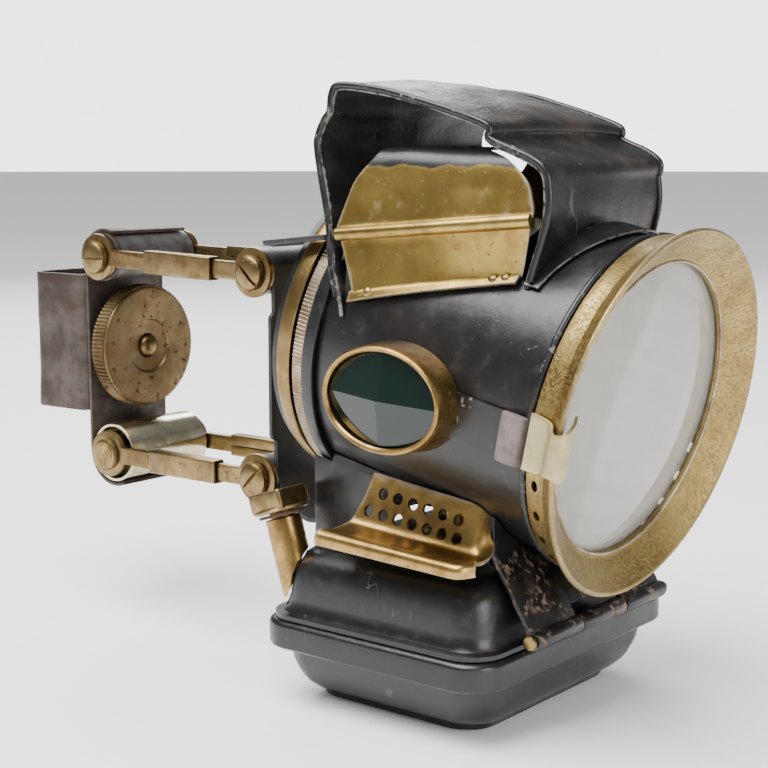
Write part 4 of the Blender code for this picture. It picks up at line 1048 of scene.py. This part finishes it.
def makeFiller(size):
    y = fountSize["bandY"]
    form = stacked([ringOf(*row) for row in (
        (38.6, 30.6, 8.4, 16.0, y), (38.6, 30.6, 8.4, 20.6, y), (36.2, 28.5, 7.8, 23.5, y),
        (35.5, 27.8, 7.8, 28.6, y), (34.6, 27.0, 8.2, 31.4, y), (32.6, 25.2, 8.6, 33.8, y),
        (29.6, 22.4, 8.6, 34.8, y))])
    outer, inner, top = size["radius"], size["radius"] - size["wall"], size["length"]
    tube = spun([(inner, -9), (outer, -9), (outer, top - 0.25), (outer - 0.25, top), (inner, top)],
                fillerPlace, 64)
    addPiece("fillerTube", settled(tube, *minus(form)), "jewelBrass", ("filler_tube",))
    washer = [(inner + 0.3, top + 0.3), (5.2, top + 0.3), (5.4, top + 0.5), (5.3, top + 1.0),
              (inner + 0.3, top + 1.0)]
    addPiece("fillerWasher", spun(washer, fillerPlace, 64), "leather", ("filler_washer",))
    seat = top + 1.3
    flange = [(0, seat - 3.6), (inner - 0.5, seat - 3.6), (inner - 0.4, seat), (5.8, seat),
              (6.2, seat + 0.2), (6.3, seat + 0.6), (6.0, seat + 0.9), (0, seat + 0.9)]
    square = slab(roundedBox(size["square"], size["square"], 0.8, steps=5), seat + 0.5, seat + 5.0,
                  fillerPlace, 0.5)
    addPiece("fillerCap", settled(spun(flange, fillerPlace, 64), *plus(square)), "capBrass",
             ("filler_cap",))


winderSize = {"ribs": 36, "rim": 4.3, "teeth": 8, "spindle": (0.0, 2.6, 41.4)}


def makeWinder(size):
    place = Matrix.Translation(size["spindle"]) @ acrossPlace(0, 0)
    body = spun([(0, -5.5), (1.5, -5.5), (1.5, -1.5), (0.8, -1.5), (0.8, 11.4), (4.0, 11.4), (4.3, 11.8),
                 (4.3, 14.8), (4.0, 15.2), (0, 15.2)], place, 48)
    ribs = ribbedRim(size["ribs"], size["rim"], 0.4, 2.8, "brass",
                     place @ Matrix.Translation((0, 0, 13.3)))
    teeth = ribbedRim(size["teeth"], 1.5, 0.45, 3.6, "brass",
                      place @ Matrix.Translation((0, 0, -3.5)))
    addPiece("wickWinder", joined(body, ribs, teeth), "brass", ("wick_spindle",))


makeFount(fountSize)
makeFiller(fillerSize)
makeWinder(winderSize)
print("fount made")

# spring bracket

plateSize = {"sheet": 1.2, "half": 13.6, "roll": 5.4, "bore": 4.2}


def rollTube(outer, inner, half, y, z, steps=72):
    return spun(eased([(inner, -half), (outer, -half), (outer, half), (inner, half)], 0.25),
                acrossPlace(y, z), steps)


def makeBackPlate(size):
    (yTop, zTop), (yLow, zLow) = pivots["upperInner"], pivots["lowerInner"]
    path = eased([(yTop - 4.7, zTop + 1.1), (yLow - 4.7, zLow + 0.7), (yLow - 8.2, zLow - 6.0),
                  (36.0, 34.8), (28.4, 37.2), (25.5, 39.6)], 2.0, 5, False)
    plate = slab(ribbonOutline(path, size["sheet"]), -size["half"], size["half"], acrossPlace(0, 0), 0.2)
    wing = slab(roundedBox(15.3, 15.5, 2.0, steps=6), -0.55, 0.55,
                Matrix.Translation((0, yLow - 4.55, 68.5)) @ Matrix.Rotation(math.pi / 2, 4, "X"), 0.2)
    mesh = settled(plate, *plus(wing, *(rollTube(size["roll"], size["bore"], size["half"], *pivots[name])
                                        for name in ("upperInner", "lowerInner"))))
    addPiece("backPlate", mesh, "japanPlate", ("back_plate",))
    half = [(13.4, 47.4), (20.5, 40.5), (35.6, 29.5), (34.0, 13.2), (30.4, 13.2), (31.9, 27.4), (21.0, 29.4)]
    outline = [(-x, y - 47.4) for x, y in half] + [(x, y - 47.4) for x, y in half[::-1]]
    slope = math.atan2(3.4, 31.0)
    place = Matrix.Translation((0, 47.4, 99.2)) @ Matrix.Rotation(-slope, 4, "X")
    mesh = settled(slab(eased(outline, 1.2, 4), 0, 1.2, place, 0.2),
                   *minus(capRoom(), slab(roundedBox(1.3, 1.3, 0.2, -11.5), -2, 4,
                                          place @ Matrix.Translation((-19.5, 0, 0)), 0)))
    addPiece("bracketFork", mesh, "japanPlate", ("bracket_fork",))


linkSize = {"reach": (14.05, 15.65), "bore": 3.1, "eye": 6.0, "halfWidth": 2.2, "sleeve": (13.2, 36.2)}


def makeLinks(level, size):
    inner, outer = Vector(pivots[level + "Inner"]), Vector(pivots[level + "Outer"])
    along = outer - inner
    heading = math.atan2(along.y, along.x)
    opening = math.degrees(math.asin(size["halfWidth"] / size["eye"]))
    turned = math.degrees(heading)
    outline = arcPoints(inner, size["eye"], turned + opening, turned + 360 - opening, 48)
    outline += arcPoints(outer, size["eye"], turned - 180 + opening, turned + 180 - opening, 48)
    for side, label in bothSides:
        low, high = sorted(side * reach for reach in size["reach"])
        bores = [spun([(0, -30), (size["bore"], -30), (size["bore"], 30), (0, 30)], acrossPlace(*end), 40)
                 for end in (inner, outer)]
        addPiece(level + "Link" + label, settled(slab(outline, low, high, acrossPlace(0, 0), 0.25),
                                                        *minus(*bores)),
                 "link", (level + "_link_" + label.lower(),))
        middle = side * (size["reach"][0] + size["reach"][1]) / 2
        start, end = size["sleeve"]
        place = (Matrix.Translation((middle, *inner)) @ acrossPlace(0, 0, heading)
                 @ Matrix(((0, 0, 1, 0), (1, 0, 0, 0), (0, 1, 0, 0), (0, 0, 0, 1))))
        outside, inside = roundedBox(2.9, 1.8, 0.6, steps=6), roundedBox(2.5, 1.1, 0.2, steps=6)
        tube = stacked([(outside, start), (outside, end), (inside, end), (inside, start)], place, False)
        seam = slab([(-0.12, 0.9), (0.12, 0.9), (0.12, 2.4), (-0.12, 2.4)], start - 1, end + 1,
                    place @ Matrix.Scale(-side, 4, (0, 1, 0)), 0)
        bmesh.ops.recalc_face_normals(seam, faces=seam.faces)
        addPiece(level + "Sleeve" + label, settled(tube, *minus(seam), softEdge), "link",
                 (level + "_sleeve_" + label.lower(),), uneven=0.12)


pinSize = {"end": 15.95, "shank": 2.8, "head": 4.2, "ribs": 44}


def makePin(name, node, centre, slotAngle, size):
    end, shank, head = size["end"], size["shank"], size["head"]
    place = acrossPlace(*centre)
    if slotAngle is None:     # riveted over, with turning marks
        crown = [(0, -end - 1.9), (0.7, -end - 1.85), (0.8, -end - 1.7), (1.5, -end - 1.75),
                 (1.6, -end - 1.55), (2.4, -end - 1.6), (2.5, -end - 1.4), (3.2, -end - 1.35),
                 (3.3, -end - 1.1), (3.9, -end - 0.9)]
    else:
        crown = [(0, -end - 2.0), (1.6, -end - 1.98), (2.6, -end - 1.85), (3.4, -end - 1.6),
                 (3.95, -end - 1.15)]
    profile = crown + [(head, -end), (shank, -end), (shank, end), (head, end), (4.0, end + 1.2),
                       (2.6, end + 1.6), (0, end + 1.6)]
    body = spun(profile, place, 56)
    cuts = []
    if slotAngle is not None:
        cuts = minus(slab([(-6, -0.42), (6, -0.42), (6, 0.42), (-6, 0.42)], -end - 4, -end - 1.0,
                          acrossPlace(*centre, math.radians(slotAngle)), 0))
    ribs = ribbedRim(size["ribs"], head - 0.12, 0.28, 0.6, "link",
                     place @ Matrix.Translation((0, 0, -end - 0.35)))
    addPiece(name, joined(settled(body, *cuts), ribs), "link", (node,))


springSize = {"turns": 9.0, "wire": 0.5, "half": 10.0}


def makeSpring(name, node, centre, radius, size):
    coil = grown(coilTree, {"Turns": size["turns"], "Coil Radius": radius, "Length": 2 * size["half"],
                            "Wire Radius": size["wire"], "Finish": finishes["steel"]},
                 place=acrossPlace(*centre) @ Matrix.Translation((0, 0, -size["half"])))
    addPiece(name, coil, "steel", (node,))


outerSize = {"plate": 1.0, "half": 13.3, "clampHeight": 70.3}


def makeOuter(size):
    upper = arcPoints(pivots["upperOuter"], 6.85, 115, 0, 30)
    lower = arcPoints(pivots["lowerOuter"], 8.5, 0, -115, 30)
    hole = spun([(0, -2), (3.4, -2), (3.4, 18), (0, 18)],
                Matrix.Translation((0, 100, size["clampHeight"])) @ rearPlace(0), 48)
    plate = slab(ribbonOutline(upper + lower, size["plate"]), -size["half"], size["half"],
                 acrossPlace(0, 0), 0.2)
    addPiece("outerPlate", settled(plate, *minus(hole)), "steel", ("outer_plate",), uneven=0.15)
    addPiece("upperRoller", rollTube(6.0, 5.2, 13.6, *pivots["upperOuter"]), "tube",
             ("upper_roller",))
    endRing = spun(eased([(5.2, -13.75), (6.25, -13.75), (6.25, -12.1), (5.2, -12.1)], 0.2),
                   acrossPlace(*pivots["upperOuter"]), 72)
    addPiece("rollerEndRing", endRing, "steel", body="outer_bracket")
    addPiece("lowerRoller", rollTube(7.66, 6.8, 13.4, *pivots["lowerOuter"]), "nickel",
             ("lower_roller",))
    outline, inside = roundedBox(13.5, 10.6, 3.6, 124.6, 12), roundedBox(12.3, 9.4, 2.6, 124.6, 12)
    heights = [53.2 + 36.2 * t / 14 for t in range(15)]
    tube = stacked([(outline, h) for h in heights] + [(inside, h) for h in heights[::-1]], closed=False)
    bore = spun([(0, 0), (3.4, 0), (3.4, 18), (0, 18)],
                Matrix.Translation((0, 100, size["clampHeight"])) @ rearPlace(0), 48)
    piece = addPiece("clampSocket", settled(tube, *minus(bore), softEdge), "steel", ("socket",),
                     uneven=0.3)
    markRim(piece, lambda spot: 0.6 if spot.z > 88.8 else 0.0)


clampSize = {"ribs": 96, "radius": 15.75, "ribDepth": 0.62, "pitch": 1.0}


def makeClamp(size):
    place = rearPlace(outerSize["clampHeight"])
    wheel = [(3.2, 104.8), (6.8, 104.8), (7.2, 104.0), (15.2, 104.0), (15.6, 104.2), (15.75, 104.6),
             (15.75, 108.8), (15.5, 109.1), (14.4, 109.1), (14.4, 106.2), (7.0, 106.2), (7.0, 109.1),
             (3.2, 109.1)]
    ribs = ribbedRim(size["ribs"], size["radius"], size["ribDepth"], 4.1, "wheel",
                     place @ Matrix.Translation((0, 0, 106.7)))
    addPiece("clampWheel", joined(spun(eased(wheel, 0.2, 2), place, 128), ribs), "wheel",
             ("clamp_wheel",))
    thread, height = [], 109.6
    while height < 120.6:
        thread += [(2.9, height), (2.55, height + size["pitch"] / 2)]
        height += size["pitch"]
    screw = [(0, 102.9), (1.0, 103.0), (1.9, 103.35), (2.5, 103.8), (2.9, 104.5)] + thread
    screw += [(2.9, 120.8), (2.6, 121.1), (0, 121.1)]
    addPiece("clampScrew", spun(screw, place, 48), "link", ("clamp_screw",))


makeBackPlate(plateSize)
for level in ("upper", "lower"):
    makeLinks(level, linkSize)
for name, slotAngle in (("upperInner", 45), ("lowerInner", -45), ("upperOuter", 0), ("lowerOuter", None)):
    level, place = ("upper", name[5:].lower()) if name.startswith("upper") else ("lower", name[5:].lower())
    makePin(name + "Pin", level + "_" + place + "_pin", pivots[name], slotAngle, pinSize)
makeSpring("upperSpringCoil", "upper_spring", pivots["upperOuter"], 4.0, springSize)
makeSpring("lowerSpringCoil", "lower_spring", pivots["lowerOuter"], 4.6, springSize)
makeOuter(outerSize)
makeClamp(clampSize)
print("bracket made")

# what is left of the frame keeps its shape, with softened edges

keptFinish = {"throat": "japan", "apron": "apron", "fount_hinge_leaf": "apron", "clamp_jaw": "steel",
              "wick": "cotton", "lens_retainer": "milled"}


def soften(node):
    bm = bmesh.new()
    bm.from_mesh(bpy.data.objects[node].data)
    bmesh.ops.scale(bm, vec=(1000, 1000, 1000), verts=bm.verts)
    bmesh.ops.remove_doubles(bm, verts=bm.verts, dist=2e-3)
    bmesh.ops.dissolve_limit(bm, angle_limit=math.radians(1), verts=bm.verts, edges=bm.edges)
    words = node.split("_")
    name = words[0] + "".join(word.title() for word in words[1:]) + "Finished"
    mesh = settled(bm, ("BEVEL", {"width": 0.18, "segments": 2, "limit_method": "ANGLE",
                                  "angle_limit": math.radians(38)}))
    return addPiece(name, mesh, keptFinish.get(node, "brass"), (node,))


for node in sorted(bodyOf):
    if node not in standsFor:
        soften(node)
print("every piece made:", len(standsFor), "frame nodes stand behind finished pieces")

# floor, light and camera

studio = {"floor": 9.0, "floorTone": (0.93, 0.925, 0.92), "floorRough": 0.6, "floorDrop": 0.0002,
          "surroundSeen": 5.5, "surroundLight": 2.2,
          "sky": ((0.0, 0.55, 0.555), (0.5, 0.55, 0.5555), (0.545, 0.5, 0.505), (0.60, 0.32, 0.3232),
                  (0.75, 0.17, 0.1717), (1.0, 0.36, 0.37))}     # height share, grey, its blue
studioLights = (     # name, watts, size, position and aim in metres
    ("overhead", 22.0, (0.9, 0.6), (-0.35, 0.15, 0.9), (0, 0.02, 0.07)),
    ("frontGlow", 6.0, (0.5, 0.5), (-0.15, -0.9, 0.35), (0, -0.04, 0.07)),
    ("rearRim", 7.0, (0.6, 0.4), (0.6, 0.7, 0.6), (0, 0.05, 0.08)))
viewpoint = {"lens": 75.09, "sensor": 36.0, "clip": (0.01, 20.0), "around": -51.38, "down": 8.32,
             "place": (-0.29196, -0.20906, 0.12186)}


def makeFloor(size):
    finish = Shade("paleFloor")
    finish.set(Base_Color=size["floorTone"], Roughness=size["floorRough"])
    bm = bmesh.new()
    bmesh.ops.create_circle(bm, cap_ends=True, radius=size["floor"], segments=96)
    mesh = bpy.data.meshes.new("studioFloor")
    bm.to_mesh(mesh)
    bm.free()
    mesh.materials.append(finish.material)
    floor = bpy.data.objects.new("studioFloor", mesh)
    floor.location.z = -size["floorDrop"]
    bpy.context.scene.collection.objects.link(floor)


def makeLight(name, energy, size, position, target):
    light = bpy.data.lights.new(name, "AREA")
    light.shape, light.energy = "RECTANGLE", energy
    light.size, light.size_y = size
    panel = bpy.data.objects.new(name, light)
    panel.location = position
    panel.rotation_euler = (Vector(target) - Vector(position)).to_track_quat("-Z", "Y").to_euler()
    bpy.context.scene.collection.objects.link(panel)


class Sky(Shade):     # the same tools for the world
    def __init__(self, name):
        world = bpy.data.worlds.new(name)
        world.use_nodes = True
        bpy.context.scene.world = world
        self.tree = world.node_tree
        self.surface = self.tree.nodes["Background"]
        self.where = self.node("ShaderNodeTexCoord")


def makeSky(size):     # a white surround that stays dark in the gloss
    sky = Sky("studioSky")
    height = sky.node("ShaderNodeSeparateXYZ", values={0: sky.where}, output=2)
    share = sky.node("ShaderNodeMapRange", values={"Value": height, "From Min": -1.0, "From Max": 1.0})
    stops = [(place, (grey, grey, blue)) for place, grey, blue in size["sky"]]
    seen, lit = [sky.node("ShaderNodeLightPath", output=ray) for ray in ("Is Camera Ray", "Is Diffuse Ray")]
    sky.set(Color=sky.node("ShaderNodeValToRGB", {"stops": stops}, {0: share}),
            Strength=1.0 + size["surroundLight"] * lit + size["surroundSeen"] * seen)


def makeCamera(size):
    camera = bpy.data.cameras.new("view")
    camera.lens, camera.sensor_width = size["lens"], size["sensor"]
    camera.clip_start, camera.clip_end = size["clip"]
    eye = bpy.data.objects.new("view", camera)
    eye.location = size["place"]
    around, down = math.radians(size["around"]), math.radians(size["down"])
    back = Vector((math.sin(around) * math.cos(down), -math.cos(around) * math.cos(down), math.sin(down)))
    eye.rotation_euler = (-back).to_track_quat("-Z", "Y").to_euler()
    bpy.context.scene.collection.objects.link(eye)
    bpy.context.scene.camera = eye


makeFloor(studio)
for light in studioLights:
    makeLight(*light)
makeSky(studio)
makeCamera(viewpoint)
print("floor, light and camera made")
